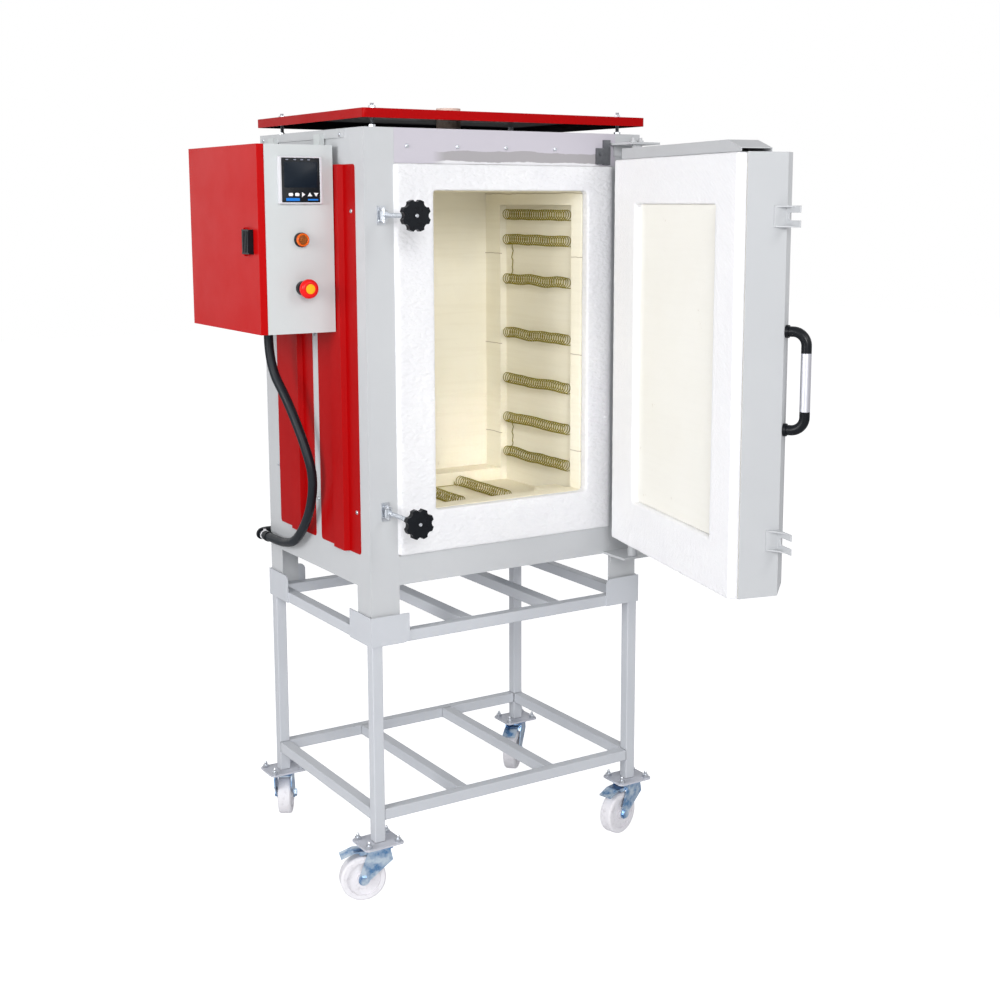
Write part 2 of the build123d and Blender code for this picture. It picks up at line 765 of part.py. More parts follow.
with BuildPart() as door_blanket:
    with BuildSketch(door.offset(door_low)):
        with Locations((door_w / 2, blanket_t / 2)):
            Rectangle(door_w, blanket_t)
    extrude(amount=door_high - door_low)
    with BuildSketch(door.offset(panel_z0)):
        with Locations(((panel_u0 + panel_u1) / 2, blanket_t / 2)):
            Rectangle(panel_u1 - panel_u0, blanket_t + 2)
    extrude(amount=panel_z1 - panel_z0, mode=Mode.SUBTRACT)
slope_end = door_high + 7
side_plane = Plane(origin=(door_x, door_y, 0), x_dir=du, z_dir=(-dw[0], -dw[1], 0))
with BuildPart() as door_cowl:
    with BuildSketch(side_plane.offset(-cowl_w1)):
        with BuildLine():
            Polyline(
                (cowl_u0, door_high),
                (cowl_u0, door_high + cowl_h),
                (cowl_u1, door_high + cowl_h),
                (door_w, slope_end),
                (door_w, door_high),
                close=True,
            )
        make_face()
    extrude(amount=cowl_w1 - cowl_w0)
    with BuildSketch(side_plane.offset(-cowl_w1 + 1.5)):
        with BuildLine():
            Polyline(
                (cowl_u0 + 1.5, door_high - 1),
                (cowl_u0 + 1.5, door_high + cowl_h - 1.5),
                (cowl_u1, door_high + cowl_h - 1.5),
                (door_w + 1, slope_end - 1.5),
                (door_w + 1, door_high - 1),
                close=True,
            )
        make_face()
    extrude(amount=cowl_w1 - cowl_w0 - 3, mode=Mode.SUBTRACT)

# Forks on the free edge of the door, which take the clamp bolts.
rod_u = door_w - (clamp_x - (hinge_x - door_edge_u - door_w))
with BuildPart() as door_forks:
    for z0 in (clamp_z1, clamp_z2):
        with BuildSketch(door.offset(z0 - fork_h / 2)):
            with Locations((door_w + fork_bar / 2, door_side_t - 14)):
                Rectangle(fork_bar, 28)
            with Locations((door_w + fork_reach / 2, door_side_t - fork_bar / 2)):
                Rectangle(fork_reach, fork_bar)
        extrude(amount=fork_h)
        for z1 in (z0 - fork_h / 2, z0 + fork_h / 2 - fork_bar):
            with BuildSketch(door.offset(z1)):
                with BuildLine():
                    Line((door_w, door_side_t - 28), (door_w, door_side_t))
                    Line((door_w, door_side_t), (door_w + fork_reach, door_side_t))
                    ThreePointArc(
                        (door_w + fork_reach, door_side_t),
                        (door_w + fork_reach * 0.45, door_side_t - 8),
                        (door_w, door_side_t - 28),
                    )
                make_face()
            extrude(amount=fork_bar)
        with BuildSketch(side_plane.offset(-door_side_t - 1)):
            with Locations((rod_u + fork_reach / 2, z0)):
                Rectangle(fork_reach, notch_h)
            with Locations((rod_u, z0)):
                Circle(notch_h / 2)
        extrude(amount=fork_bar + 2, mode=Mode.SUBTRACT)

# Door handle: two bent black ends on the bevel and a plain tube between them.
bevel_u = door_w - bevel / 2
bevel_w = door_side_t + bevel / 2
bevel_spot = door.from_local_coords((bevel_u, bevel_w, 0))
out_x = (du[0] + dw[0]) / math.sqrt(2)
out_y = (du[1] + dw[1]) / math.sqrt(2)
bevel_plane = Plane(origin=bevel_spot, x_dir=(out_x, out_y, 0), z_dir=(out_y, -out_x, 0))
with BuildPart() as handle_ends:
    for foot, end in ((handle_z0, grip_z0), (handle_z1, grip_z1)):
        with BuildLine(bevel_plane) as bend:
            FilletPolyline((5, foot), (grip_out, foot), (grip_out, end), radius=grip_out - 14)
        start = bevel_plane.from_local_coords((5, foot, 0))
        with BuildSketch(Plane(origin=start, z_dir=(out_x, out_y, 0))):
            Circle(grip_r)
        sweep(path=bend.wires()[0])
        with BuildSketch(Plane(origin=bevel_plane.from_local_coords((0, foot, 0)), z_dir=(out_x, out_y, 0))):
            Circle(grip_r + 2.5)
        extrude(amount=6)
with BuildPart() as handle_grip:
    spot = bevel_plane.from_local_coords((grip_out, 0, 0))
    with Locations((spot.X, spot.Y, (grip_z0 + grip_z1) / 2)):
        Cylinder(grip_r, grip_z1 - grip_z0)

# Hinge brackets on the casing with their collars and pins.
with BuildPart() as hinge_brackets:
    block(hx - 27, hx + 50, hy - 17, cas_y0, top_plate_z, top_plate_z + hinge_plate_t)
    block(hx - 17, hx + 50, cas_y0 - 4, cas_y0, top_plate_z - 24, top_plate_z)
    block(hx - 37, hx + 50, hy - 17, cas_y0, low_plate_z, low_plate_z + hinge_plate_t)
    block(hx - 17, hx + 50, cas_y0 - 4, cas_y0, low_plate_z - 24, low_plate_z)
    collar_low = low_plate_z + hinge_plate_t
    collar_up = door_high + lug_t + clear
    with Locations((hx, hy, (collar_up + top_plate_z) / 2)):
        Cylinder(collar_r, top_plate_z - collar_up)
    with Locations((hx, hy, (door_high + clear + collar_up) / 2)):
        Cylinder(hinge_pin_r, collar_up - door_high - clear)
    with Locations((hx, hy, (collar_low + door_low - lug_t - clear) / 2)):
        Cylinder(collar_r, door_low - lug_t - clear - collar_low)
    with Locations((hx, hy, (door_low - lug_t - clear + door_low - clear) / 2)):
        Cylinder(hinge_pin_r, lug_t)
    for x0, y0 in ((hx + 20, front - 18), (hx + 40, front - 18)):
        with Locations((x0, y0, top_plate_z + hinge_plate_t + 3)):
            Cylinder(7, 6)
        with Locations((x0, y0, top_plate_z + hinge_plate_t + 9)):
            Cylinder(4, 6)

# Clamp brackets on the left front post, each a plate with two ears and an upright pin.
cx = left + clamp_x
cy = front + clamp_pivot_y
with BuildPart() as clamp_brackets:
    for z0 in (clamp_z1, clamp_z2):
        block(cx - 9, cx + 9, cas_y0 - 3, cas_y0, z0 - 19.5, z0 + 19.5)
        for z1 in (z0 - 12, z0 + 9):
            block(cx - 7, cx + 7, cy, cas_y0 - 3, z1, z1 + 3)
            with Locations((cx, cy, z1 + 1.5)):
                Cylinder(7, 3)
        with Locations((cx, cy, z0)):
            Cylinder(3, 30)

# Swing bolts, thrust washers and star knobs.
for tag, z0 in (("upper", clamp_z1), ("lower", clamp_z2)):
    rod_plane = Plane(origin=(cx, cy, z0), x_dir=(1, 0, 0), z_dir=(0, -1, 0))
    with BuildPart() as bolt:
        with Locations((cx, cy, z0)):
            Cylinder(8, 17)
        with BuildSketch(rod_plane.offset(4)):
            Circle(rod_r)
        extrude(amount=rod_len - 4)
        with Locations((cx, cy, z0)):
            Cylinder(3 + hinge_fit, 20, mode=Mode.SUBTRACT)
    save(bolt, "swing_bolt_" + tag)
    with BuildPart() as washer:
        with BuildSketch(rod_plane.offset(washer_at)):
            Circle(washer_r)
            Circle(rod_r + hinge_fit, mode=Mode.SUBTRACT)
        extrude(amount=washer_t)
    save(washer, "clamp_washer_" + tag)
    hub_at = washer_at + washer_t + clear
    with BuildPart() as knob:
        with BuildSketch(rod_plane.offset(hub_at)):
            Circle(hub_r)
        extrude(amount=hub_len)
        with BuildSketch(rod_plane.offset(hub_at + hub_len)):
            Circle(knob_r)
            with PolarLocations(knob_r + 3.5, 8):
                Circle(8.5, mode=Mode.SUBTRACT)
        extrude(amount=head_t)
        with BuildSketch(rod_plane.offset(hub_at - 1)):
            Circle(rod_r + hinge_fit)
        extrude(amount=rod_len - hub_at + 3, mode=Mode.SUBTRACT)
        with BuildSketch(rod_plane.offset(hub_at + hub_len + head_t)):
            Circle(5)
        extrude(amount=1.2)
    save(knob, "star_knob_" + tag)

# Control box: a sheet housing on the left side, open towards the lid, with two lugs to the casing bracket.
bx1 = left + box_x1
bx0 = bx1 - box_w
by0 = front + box_y0
by1 = by0 + box_d
lid_x = bx0 - lid_gap
hinge_out = 4.0
hole_r = 11.2
ctrl_cx = left + ctrl_x
with BuildPart() as control_box:
    half_cut = ctrl_cut / 2
    inner_y0 = by0 + box_sheet + seam
    inner_y1 = by1 - box_sheet - seam
    inner_z0 = box_low + box_sheet + seam
    inner_z1 = box_high - box_sheet - seam
    block(bx0, bx1, by0, by0 + box_sheet, box_low, box_high)
    cut_z0 = ctrl_z - half_cut
    cut_z1 = ctrl_z + half_cut
    block(ctrl_cx - half_cut, ctrl_cx + half_cut, by0 - 1, by0 + 3, cut_z0, cut_z1, mode=Mode.SUBTRACT)
    for x0, z0 in ((left + lamp_x, lamp_z), (left + stop_x, stop_z)):
        with Locations(Location((x0, by0, z0), (90, 0, 0))):
            Cylinder(hole_r, 8, mode=Mode.SUBTRACT)
    block(bx0, bx1, by1 - box_sheet, by1, box_low, box_high)
    block(bx0, bx1, inner_y0, inner_y1, box_low, box_low + box_sheet)
    block(bx0, bx1, inner_y0, inner_y1, box_high - box_sheet, box_high)
    block(bx1 - box_sheet, bx1, inner_y0, inner_y1, inner_z0, inner_z1)
    for y0 in (by0 + 60, by0 + 300):
        block(bx1 + seam, cas_x0 - 3, y0, y0 + 30, 1600, 1635)
    for z0 in (box_low + 60, box_high - 90):
        with Locations((lid_x, by1 + hinge_out, z0)):
            Cylinder(3.5, 24)
        block(lid_x, bx0 + 14, by1, by1 + hinge_out, z0 - 12, z0 + 12)
        with Locations((lid_x, by1 + hinge_out, z0 + 24)):
            Cylinder(1.75, 24)

# Lid of the control box, hinged on its rear edge.
with BuildPart() as box_lid:
    block(lid_x - lid_t, lid_x, by0, by1, box_low, box_high)
    skin_x = lid_x - lid_t + box_sheet
    pan_y0 = by0 + box_sheet
    pan_y1 = by1 - box_sheet
    block(skin_x, lid_x + 1, pan_y0, pan_y1, box_low + box_sheet, box_high - box_sheet, mode=Mode.SUBTRACT)
    for z0 in (box_low + 60, box_high - 90):
        with Locations((lid_x, by1 + hinge_out, z0 + 24.3)):
            Cylinder(3.5, 23.4)
        block(lid_x - 13, lid_x, by1, by1 + hinge_out, z0 + 12.6, z0 + 36)
        with Locations((lid_x, by1 + hinge_out, z0 + 24.3)):
            Cylinder(1.75 + hinge_fit, 26, mode=Mode.SUBTRACT)
    latch_y = by0 + 62
    latch_x = lid_x - lid_t - 5
    for z0 in (latch_z - latch_h / 2 - 4, latch_z + latch_h / 2 + 1):
        block(latch_x - 3, lid_x - lid_t, latch_y - 4, latch_y + 4, z0, z0 + 3)
    with Locations((latch_x, latch_y, latch_z)):
        Cylinder(2, latch_h + 4)

# Black latch on the lid, a ribbed lever turning on an upright pin.
with BuildPart() as box_latch:
    latch_low = latch_z - latch_h / 2
    latch_top = latch_z + latch_h / 2
    block(latch_x - 6, latch_x + 4.6, latch_y - 36, latch_y, latch_low, latch_top)
    with Locations((latch_x, latch_y, latch_z)):
        Cylinder(4.6, latch_h)
    for n in range(4):
        rib_y = latch_y - 34 + 8 * n
        block(latch_x - 7.2, latch_x - 6, rib_y, rib_y + 4, latch_low + 3, latch_top - 3)
    with Locations((latch_x, latch_y, latch_z)):
        Cylinder(2 + hinge_fit, latch_h + 2, mode=Mode.SUBTRACT)

# Temperature controller in the front of the box, with five key pockets.
key_row = [ctrl_cx + key_pitch * (n - 2) + 5 for n in range(5)]
face_front = by0 - ctrl_proud
with BuildPart() as controller:
    half = ctrl_size / 2
    block(ctrl_cx - half, ctrl_cx + half, face_front, by0, ctrl_z - half, ctrl_z + half)
    chamfer(controller.faces().sort_by(Axis.Y)[0].edges(), 3)
    block(ctrl_cx - 45, ctrl_cx + 45, by0, by0 + 70, ctrl_z - 45, ctrl_z + 45)
    with Locations(*[Location((x0, face_front + 1, key_z)) for x0 in key_row]):
        Box(key_w + 2 * clear, 4, key_h + 2 * clear, mode=Mode.SUBTRACT)
for n, x0 in enumerate(key_row):
    with BuildPart() as key:
        block(x0 - key_w / 2, x0 + key_w / 2, face_front - 0.6, face_front + 2.2, key_z - key_h / 2, key_z + key_h / 2)
        fillet(key.edges().filter_by(Axis.Y), 1)
    save(key, "controller_key_" + str(n + 1))

# Pilot lamp: black base, ring and lens.
with BuildPart() as pilot_lamp:
    with Locations(Location((left + lamp_x, by0 - 4, lamp_z), (90, 0, 0))):
        Cylinder(15, 8)
    with Locations(Location((left + lamp_x, by0 - 11.5, lamp_z), (90, 0, 0))):
        Cylinder(14, 7)
    fillet(pilot_lamp.edges().group_by(Axis.Y)[0], 3)
    with Locations(Location((left + lamp_x, by0 + 15, lamp_z), (90, 0, 0))):
        Cylinder(11, 30)

# Emergency stop: collar and body, sliding stem and turning mushroom cap.
sx = left + stop_x
with BuildPart() as stop_base:
    with Locations(Location((sx, by0 - 6, stop_z), (90, 0, 0))):
        Cylinder(15, 12)
    with Locations(Location((sx, by0 + 17.5, stop_z), (90, 0, 0))):
        Cylinder(11, 35)
    with Locations(Location((sx, by0 + 2, stop_z), (90, 0, 0))):
        Cylinder(6 + clear, 30, mode=Mode.SUBTRACT)
with BuildPart() as stop_stem:
    with Locations(Location((sx, by0 - 8, stop_z), (90, 0, 0))):
        Cylinder(6, 32)
with BuildPart() as stop_cap:
    with Locations(Location((sx, by0 - 23.5, stop_z), (90, 0, 0))):
        Cylinder(13, 7)
    with Locations(Location((sx, by0 - 33.5, stop_z), (90, 0, 0))):
        Cylinder(stop_r, 13)
    fillet(stop_cap.edges().group_by(Axis.Y)[0], 5)
    with Locations(Location((sx, by0 - 19, stop_z), (90, 0, 0))):
        Cylinder(6 + hinge_fit, 11, mode=Mode.SUBTRACT)

# Equipment inside the box: mounting plate, rail, two relays and a terminal strip.
with BuildPart() as box_equipment:
    plate_x = bx1 - box_sheet
    block(plate_x - 2, plate_x, by0 + 90, by1 - 30, box_low + 20, box_high - 20)
    for z0 in (box_low + 90, box_low + 230):
        block(plate_x - 9, plate_x - 2, by0 + 100, by1 - 40, z0 - 17.5, z0 + 17.5)
    for y0 in (by0 + 110, by0 + 180):
        block(plate_x - 75, plate_x - 9, y0, y0 + 45, box_low + 190, box_low + 272)
        block(plate_x - 85, plate_x - 75, y0 + 8, y0 + 37, box_low + 205, box_low + 257)
    for n in range(12):
        block(plate_x - 45, plate_x - 9, by0 + 110 + 9 * n, by0 + 118 + 9 * n, box_low + 68, box_low + 112)

# Hose fittings: gland under the box, clip on the rear post and elbow behind it.
gx = left - 79
gy = front + 320
hose_from = box_low - 18
with BuildPart() as hose_fittings:
    with Locations((gx, gy, box_low - 4)):
        Cylinder(17, 8)
    with Locations((gx, gy, (hose_from + box_low) / 2)):
        Cylinder(13.5, 18)
    end_x = left + hose_x
    block(end_x - 15, end_x + 60, front + hose_end_y, front + hose_end_y + 30, hose_end_z - 15, hose_end_z + 15)
    with Locations(Location((end_x, front + 492, hose_end_z), (90, 0, 0))):
        Cylinder(hose_r + 2, 10)
        Cylinder(hose_r + clear, 12, mode=Mode.SUBTRACT)
    block(end_x + hose_r + 1, cas_x0, front + 487, front + 497, hose_end_z - 7, hose_end_z + 5)

# Flexible hose from the gland to the elbow, hanging in one bow.
hose_points = [
    (gx, gy, hose_from),
    (gx, gy, 1140),
    (left - 57, front + 270, 1060),
    (left - 38, front + 224, 960),
    (left - 28, front + 211, 894),
    (left - 23, front + 250, 809),
    (left - 21, front + 326, 736),
    (left - 20, front + 392, hose_end_z + 3),
    (left + hose_x, front + 460, hose_end_z),
    (left + hose_x, front + hose_end_y, hose_end_z),
]
vectors = [Vector(*p) for p in hose_points]
radii = []
for a, b, c in zip(vectors[:-2], vectors[1:-1], vectors[2:]):
    bend_angle = math.radians((b - a).get_angle(c - b))
    radii.append(0.45 * min((b - a).length, (c - b).length) / math.tan(bend_angle / 2))
print("hose radii", [round(r) for r in radii])
with BuildPart() as hose:
    with BuildLine() as hose_path:
        FilletPolyline(*hose_points, radius=radii)
    with BuildSketch(Plane(origin=vectors[0], z_dir=vectors[1] - vectors[0])):
        Circle(hose_r)
    sweep(path=hose_path.wires()[0])
hose_length = hose_path.wires()[0].length
print("hose length", round(hose_length, 1))
print("hose volume over section times length", round(hose.part.volume / (math.pi * hose_r**2 * hose_length), 4))

save(stand_legs, "stand_legs")
save(stand_rails, "stand_rails")
save(corner_cups, "corner_cups")
save(caster_plates, "caster_plates")
save(casing_frame, "casing_frame")
save(side_panels, "side_panels")
save(rear_panel, "rear_panel")
save(roof_cover, "roof_cover")
save(vent_tube, "vent_tube")
save(fasteners, "fasteners")
save(chamber_walls, "chamber_walls")
save(hearth_slab, "hearth_slab")
save(ceiling_slab, "ceiling_slab")
save(backing_fibre, "backing_fibre")
save(fibre_frame, "fibre_frame")
save(heating_elements, "heating_elements")
save(thermocouple, "thermocouple")
save(door_switch, "door_switch")
save(door_lining, "door_lining")
save(door_shell, "door_shell")
save(door_blanket, "door_blanket")
save(door_cowl, "door_cowl")
save(door_forks, "door_forks")
save(handle_ends, "handle_ends")
save(handle_grip, "handle_grip")
save(hinge_brackets, "hinge_brackets")
save(clamp_brackets, "clamp_brackets")
save(control_box, "control_box")
save(box_lid, "box_lid")
save(box_latch, "box_latch")
save(controller, "controller")
save(pilot_lamp, "pilot_lamp")
save(stop_base, "stop_base")
save(stop_stem, "stop_stem")
save(stop_cap, "stop_cap")
save(box_equipment, "box_equipment")
save(hose_fittings, "hose_fittings")
save(hose, "hose")
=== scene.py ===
import bmesh
import bpy
import math
from mathutils import Matrix, Vector, noise


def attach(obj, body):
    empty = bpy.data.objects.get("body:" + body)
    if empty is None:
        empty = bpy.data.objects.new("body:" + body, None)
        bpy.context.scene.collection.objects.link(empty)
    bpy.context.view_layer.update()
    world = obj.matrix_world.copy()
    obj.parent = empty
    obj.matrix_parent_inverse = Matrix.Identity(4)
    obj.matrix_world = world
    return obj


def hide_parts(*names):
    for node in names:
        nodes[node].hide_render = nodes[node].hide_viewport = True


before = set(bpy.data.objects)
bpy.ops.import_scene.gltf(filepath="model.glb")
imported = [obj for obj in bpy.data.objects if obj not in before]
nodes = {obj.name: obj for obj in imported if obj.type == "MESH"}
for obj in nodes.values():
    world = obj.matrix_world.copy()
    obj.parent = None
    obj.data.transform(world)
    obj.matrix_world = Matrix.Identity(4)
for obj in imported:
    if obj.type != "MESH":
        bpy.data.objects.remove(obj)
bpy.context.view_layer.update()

# Camera: set up at the height of the photographer's eye, to the left of the kiln's front.
# All lengths below are in metres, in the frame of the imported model.
scene = bpy.context.scene
lens = bpy.data.cameras.new("camera")
lens.sensor_width = 36.0
lens.lens = 53.557
lens.shift_x = -0.0255
lens.shift_y = -0.0599
camera = bpy.data.objects.new("camera", lens)
scene.collection.objects.link(camera)
camera.location = (-1.6452, -2.6722, 1.4930)
camera.rotation_euler = (math.radians(90 - 9.0652), 0.0, math.radians(-32.9053))
scene.camera = camera
scene.view_settings.view_transform = "Standard"


# Hose: smooth black plastic cable hose, 20.5 mm thick, screwed into the gland under the control box.
# It hangs in one bow to the clip on the left rear post and ends in the elbow behind it; a white tie marks its end.
def shader_of(material):
    return material.node_tree.nodes["Principled BSDF"]


def finish(name, rough=0.5, metal=0.0, gloss=None):
    made = bpy.data.materials.new(name)
    made.use_nodes = True
    if gloss is None:
        gloss = 0.5 if metal else 0.3
    sockets = shader_of(made).inputs
    sockets["Roughness"].default_value = rough
    sockets["Metallic"].default_value = metal
    sockets["Specular IOR Level"].default_value = gloss
    return made


def colour(red, green, blue):
    # A colour from a paint card, 0 to 255, as the light that it gives back.
    parts = [c / 255 for c in (red, green, blue)]
    return tuple(c / 12.92 if c < 0.04045 else ((c + 0.055) / 1.055) ** 2.4 for c in parts) + (1.0,)


def node(material, kind, **settings):
    made = material.node_tree.nodes.new("ShaderNode" + kind)
    for key, value in settings.items():
        if hasattr(made, key):
            setattr(made, key, value)
        else:
            made.inputs[key.replace("_", " ")].default_value = value
    return made


def join(material, source, output, target, socket):
    material.node_tree.links.new(source.outputs[output], target.inputs[socket])


def place_of(material, stretch=(1, 1, 1), turn=(0, 0, 0)):
    where = node(material, "TexCoord")
    scaled = node(material, "Mapping", Scale=stretch, Rotation=turn)
    join(material, where, "Object", scaled, "Vector")
    return scaled


def cloud(material, place, size, detail=3.0, rough=0.55):
    # Soft irregular patches about as wide as size, in metres.
    made = node(material, "TexNoise", Scale=1 / size, Detail=detail, Roughness=rough)
    join(material, place, "Vector", made, "Vector")
    return made


def spread(material, source, output, low, high, to_low=0.0, to_high=1.0):
    made = node(material, "MapRange", From_Min=low, From_Max=high, To_Min=to_low, To_Max=to_high)
    join(material, source, output, made, "Value")
    return made


def tinted(material, factor, output, first, second):
    # The first colour where the factor is 0 and the second where it is 1; either may be a node.
    made = node(material, "Mix", data_type="RGBA")
    join(material, factor, output, made, 0)
    for socket, value in ((6, first), (7, second)):
        if isinstance(value, tuple):
            made.inputs[socket].default_value = value
        else:
            join(material, value, 2, made, socket)
    return made


def coloured(material, mix):
    join(material, mix, 2, shader_of(material), "Base Color")


def roughened(material, source, output, low, high):
    level = spread(material, source, output, 0.3, 0.7, low, high)
    join(material, level, "Result", shader_of(material), "Roughness")


def raised(material, layers):
    # Relief from (node, output, depth in metres), one on top of the other.
    last = None
    for source, output, depth in layers:
        made = node(material, "Bump", Strength=1.0, Distance=depth)
        join(material, source, output, made, "Height")
        if last:
            join(material, last, "Normal", made, "Normal")
        last = made
    join(material, last, "Normal", shader_of(material), "Normal")


def mottled(
        name, first, second, patch, grain, rough=0.5, metal=0.0,
        gloss=None, swing=None, swell=0.0, detail=3.0, share=0.55):
    # Plain plastic, plate or clay: two near colours in patches as wide as patch, and a grain given as (width, depth).
    # Swing is the range of its roughness, and swell the depth of the patches.
    made = finish(name, rough, metal, gloss)
    spot = place_of(made)
    patches = cloud(made, spot, patch, detail, share)
    coloured(made, tinted(made, patches, "Fac", first, second))
    if swing:
        roughened(made, patches, "Fac", *swing)
    layers = [(patches, "Fac", swell)] if swell else []
    if grain:
        layers.append((cloud(made, spot, grain[0]), "Fac", grain[1]))
    raised(made, layers)
    return made


def piece(name, mesh, material, body, slot, *stands_for):
    made = bpy.data.objects.new(name, mesh)
    scene.collection.objects.link(made)
    mesh.materials.clear()
    mesh.materials.append(material)
    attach(made, body)
    if stands_for:
        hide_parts(*stands_for)
    return made


hose_black = mottled(
    "hose black", colour(12, 16, 22), colour(30, 36, 43), 0.03, (0.0012, 0.00006), 0.42,
    gloss=0.22, swing=(0.34, 0.5), swell=0.0004)
hose_route = [
    (-0.349, 0.3685, 1.207),
    (-0.349, 0.3685, 1.140),
    (-0.327, 0.3185, 1.060),
    (-0.308, 0.2725, 0.960),
    (-0.298, 0.2595, 0.894),
    (-0.293, 0.2985, 0.809),
    (-0.291, 0.3745, 0.736),
    (-0.290, 0.4405, 0.718),
    (-0.290, 0.5085, 0.715),
    (-0.290, 0.5758, 0.715),
]
hose_line = bpy.data.curves.new("hose_line", "CURVE")
hose_line.dimensions = "3D"
hose_spline = hose_line.splines.new("NURBS")
hose_spline.points.add(len(hose_route) - 1)
for point, spot_at in zip(hose_spline.points, hose_route):
    point.co = spot_at + (1.0,)
hose_spline.order_u = 3
hose_spline.use_endpoint_u = True
hose_spline.resolution_u = 16
hose_line.bevel_depth = 0.0205 / 2
hose_line.bevel_resolution = 6
hose_line.use_fill_caps = True
hose = piece("hose_flexible", hose_line, hose_black, "kiln", "hose_black", "hose")

# Stand: square steel tube 25 mm wide, welded, with folded cups at the corners that hold the kiln's feet.
# Its powder coat is a light grey, a little darker than the kiln's own.
def powder_coat(name, base, second, rough, gloss=0.3):
    coat = finish(name, rough, gloss=gloss)
    spot = place_of(coat)
    patches = cloud(coat, spot, 0.11, 4.0)
    specks = cloud(coat, spot, 0.0022, 2.0)
    mix = tinted(coat, patches, "Fac", base, second)
    fine = spread(coat, specks, "Fac", 0.62, 0.8, 0.0, 0.22)
    coloured(coat, tinted(coat, fine, "Result", mix, second))
    roughened(coat, patches, "Fac", rough - 0.05, rough + 0.07)
    raised(coat, [(cloud(coat, spot, 0.0014, 2.0), "Fac", 0.00006)])
    return coat


def dress(material, *names):
    for name in names:
        for slot in nodes[name].material_slots:
            slot.material = material


def eased(width, *names, segments=2):
    # Rounds the sharp edges of folded sheet and tube.
    for name in names:
        part = nodes[name]
        weld = part.modifiers.new("weld", "WELD")
        weld.merge_threshold = 0.00001
        edge = part.modifiers.new("edge", "BEVEL")
        edge.width = width
        edge.segments = segments
        edge.limit_method = "ANGLE"
        edge.angle_limit = math.radians(40)
        edge.use_clamp_overlap = True
        edge.harden_normals = True


stand_grey = powder_coat("stand powder coat", colour(201, 204, 209), colour(192, 195, 201), 0.42)
dress(stand_grey, "stand_legs", "stand_rails", "corner_cups")
eased(0.002, "stand_legs", "stand_rails")
eased(0.0008, "corner_cups")

# Casters: pressed zinc-plated forks with a bluish passivation, painted top plates, brake pedals.
# The wheels are white polyamide, turned on their treads and dished on both sides.
def axis_of(material, axis):
    # Place along X, Y or Z, in metres.
    parts = node(material, "SeparateXYZ")
    join(material, place_of(material), "Vector", parts, "Vector")
    return parts, axis


def worked_out(material, operation, *terms):
    # Arithmetic on numbers and on outputs, each output given as (node, output).
    made = node(material, "Math", operation=operation)
    for place, term in enumerate(terms):
        if isinstance(term, tuple):
            join(material, *term, made, place)
        else:
            made.inputs[place].default_value = term
    return made


def patched(material, masks, second):
    # Lays a second colour over the paint where every mask, (node, output, low, high), is full.
    link = [k for k in material.node_tree.links if k.to_socket.name == "Base Color"][0]
    last = None
    for source, output, low, high in masks:
        part = spread(material, source, output, low, high)
        last = worked_out(material, "MULTIPLY", (last, 0), (part, 0)) if last else part
    coloured(material, tinted(material, last, 0, link.from_node, second))


zinc = finish("blue zinc plate", 0.34, 1.0)
spot = place_of(zinc)
bloom = cloud(zinc, spot, 0.02, 4.0)
bands = spread(zinc, bloom, "Fac", 0.36, 0.62)
coloured(zinc, tinted(zinc, bands, "Result", colour(104, 146, 190), colour(204, 218, 230)))
roughened(zinc, bloom, "Fac", 0.22, 0.42)
raised(zinc, [(cloud(zinc, spot, 0.0015), "Fac", 0.00005)])
corners = ("fl", "fr", "rr", "rl")
dress(zinc, *["caster_fork_" + t for t in corners], *["brake_pedal_" + t for t in corners[:3]])

plate_grey = powder_coat("caster plate coat", colour(199, 201, 209), colour(190, 192, 201), 0.42)
plate_under = 0.1240
patched(plate_grey, [(*axis_of(plate_grey, "Z"), plate_under, plate_under - 0.0006)], colour(128, 160, 200))
dress(plate_grey, "caster_plates")

nylon = finish("white polyamide", 0.45)
spot = place_of(nylon)
scuffs = cloud(nylon, spot, 0.012, 5.0, 0.7)
marks = spread(nylon, scuffs, "Fac", 0.52, 0.78, 0.0, 0.75)
coloured(nylon, tinted(nylon, marks, "Result", colour(228, 226, 230), colour(186, 182, 186)))
roughened(nylon, scuffs, "Fac", 0.36, 0.58)
raised(nylon, [(scuffs, "Fac", 0.0002), (cloud(nylon, spot, 0.001), "Fac", 0.00006)])
shader_of(nylon).inputs["Subsurface Weight"].default_value = 0.15
shader_of(nylon).inputs["Subsurface Radius"].default_value = (0.004, 0.004, 0.004)
dress(nylon, *["caster_wheel_" + t for t in corners])

# Casing: folded sheet steel, posts and header in light grey powder coat, spot-welded.
# The folds of the posts and of the header are rounded and catch the light.
casing_grey = powder_coat("casing powder coat", colour(197, 199, 201), colour(190, 192, 195), 0.4)
dress(casing_grey, "rear_panel", "hinge_brackets")
# The header between the posts gets a lavender grey over its paint: painted shade cast by the roof's overhang.
header_grey = powder_coat("casing powder coat with painted header shade", colour(197, 199, 201), colour(190, 192, 195), 0.4)
above_foot = (*axis_of(header_grey, "Z"), 1.5725, 1.5735)
under_overhang_shade = [
    above_foot,
    (*axis_of(header_grey, "Y"), 0.0600, 0.0590),
    (*axis_of(header_grey, "X"), -0.2000, -0.1995),
    (*axis_of(header_grey, "X"), 0.3570, 0.3565),
]
patched(header_grey, under_overhang_shade, colour(195, 191, 200))
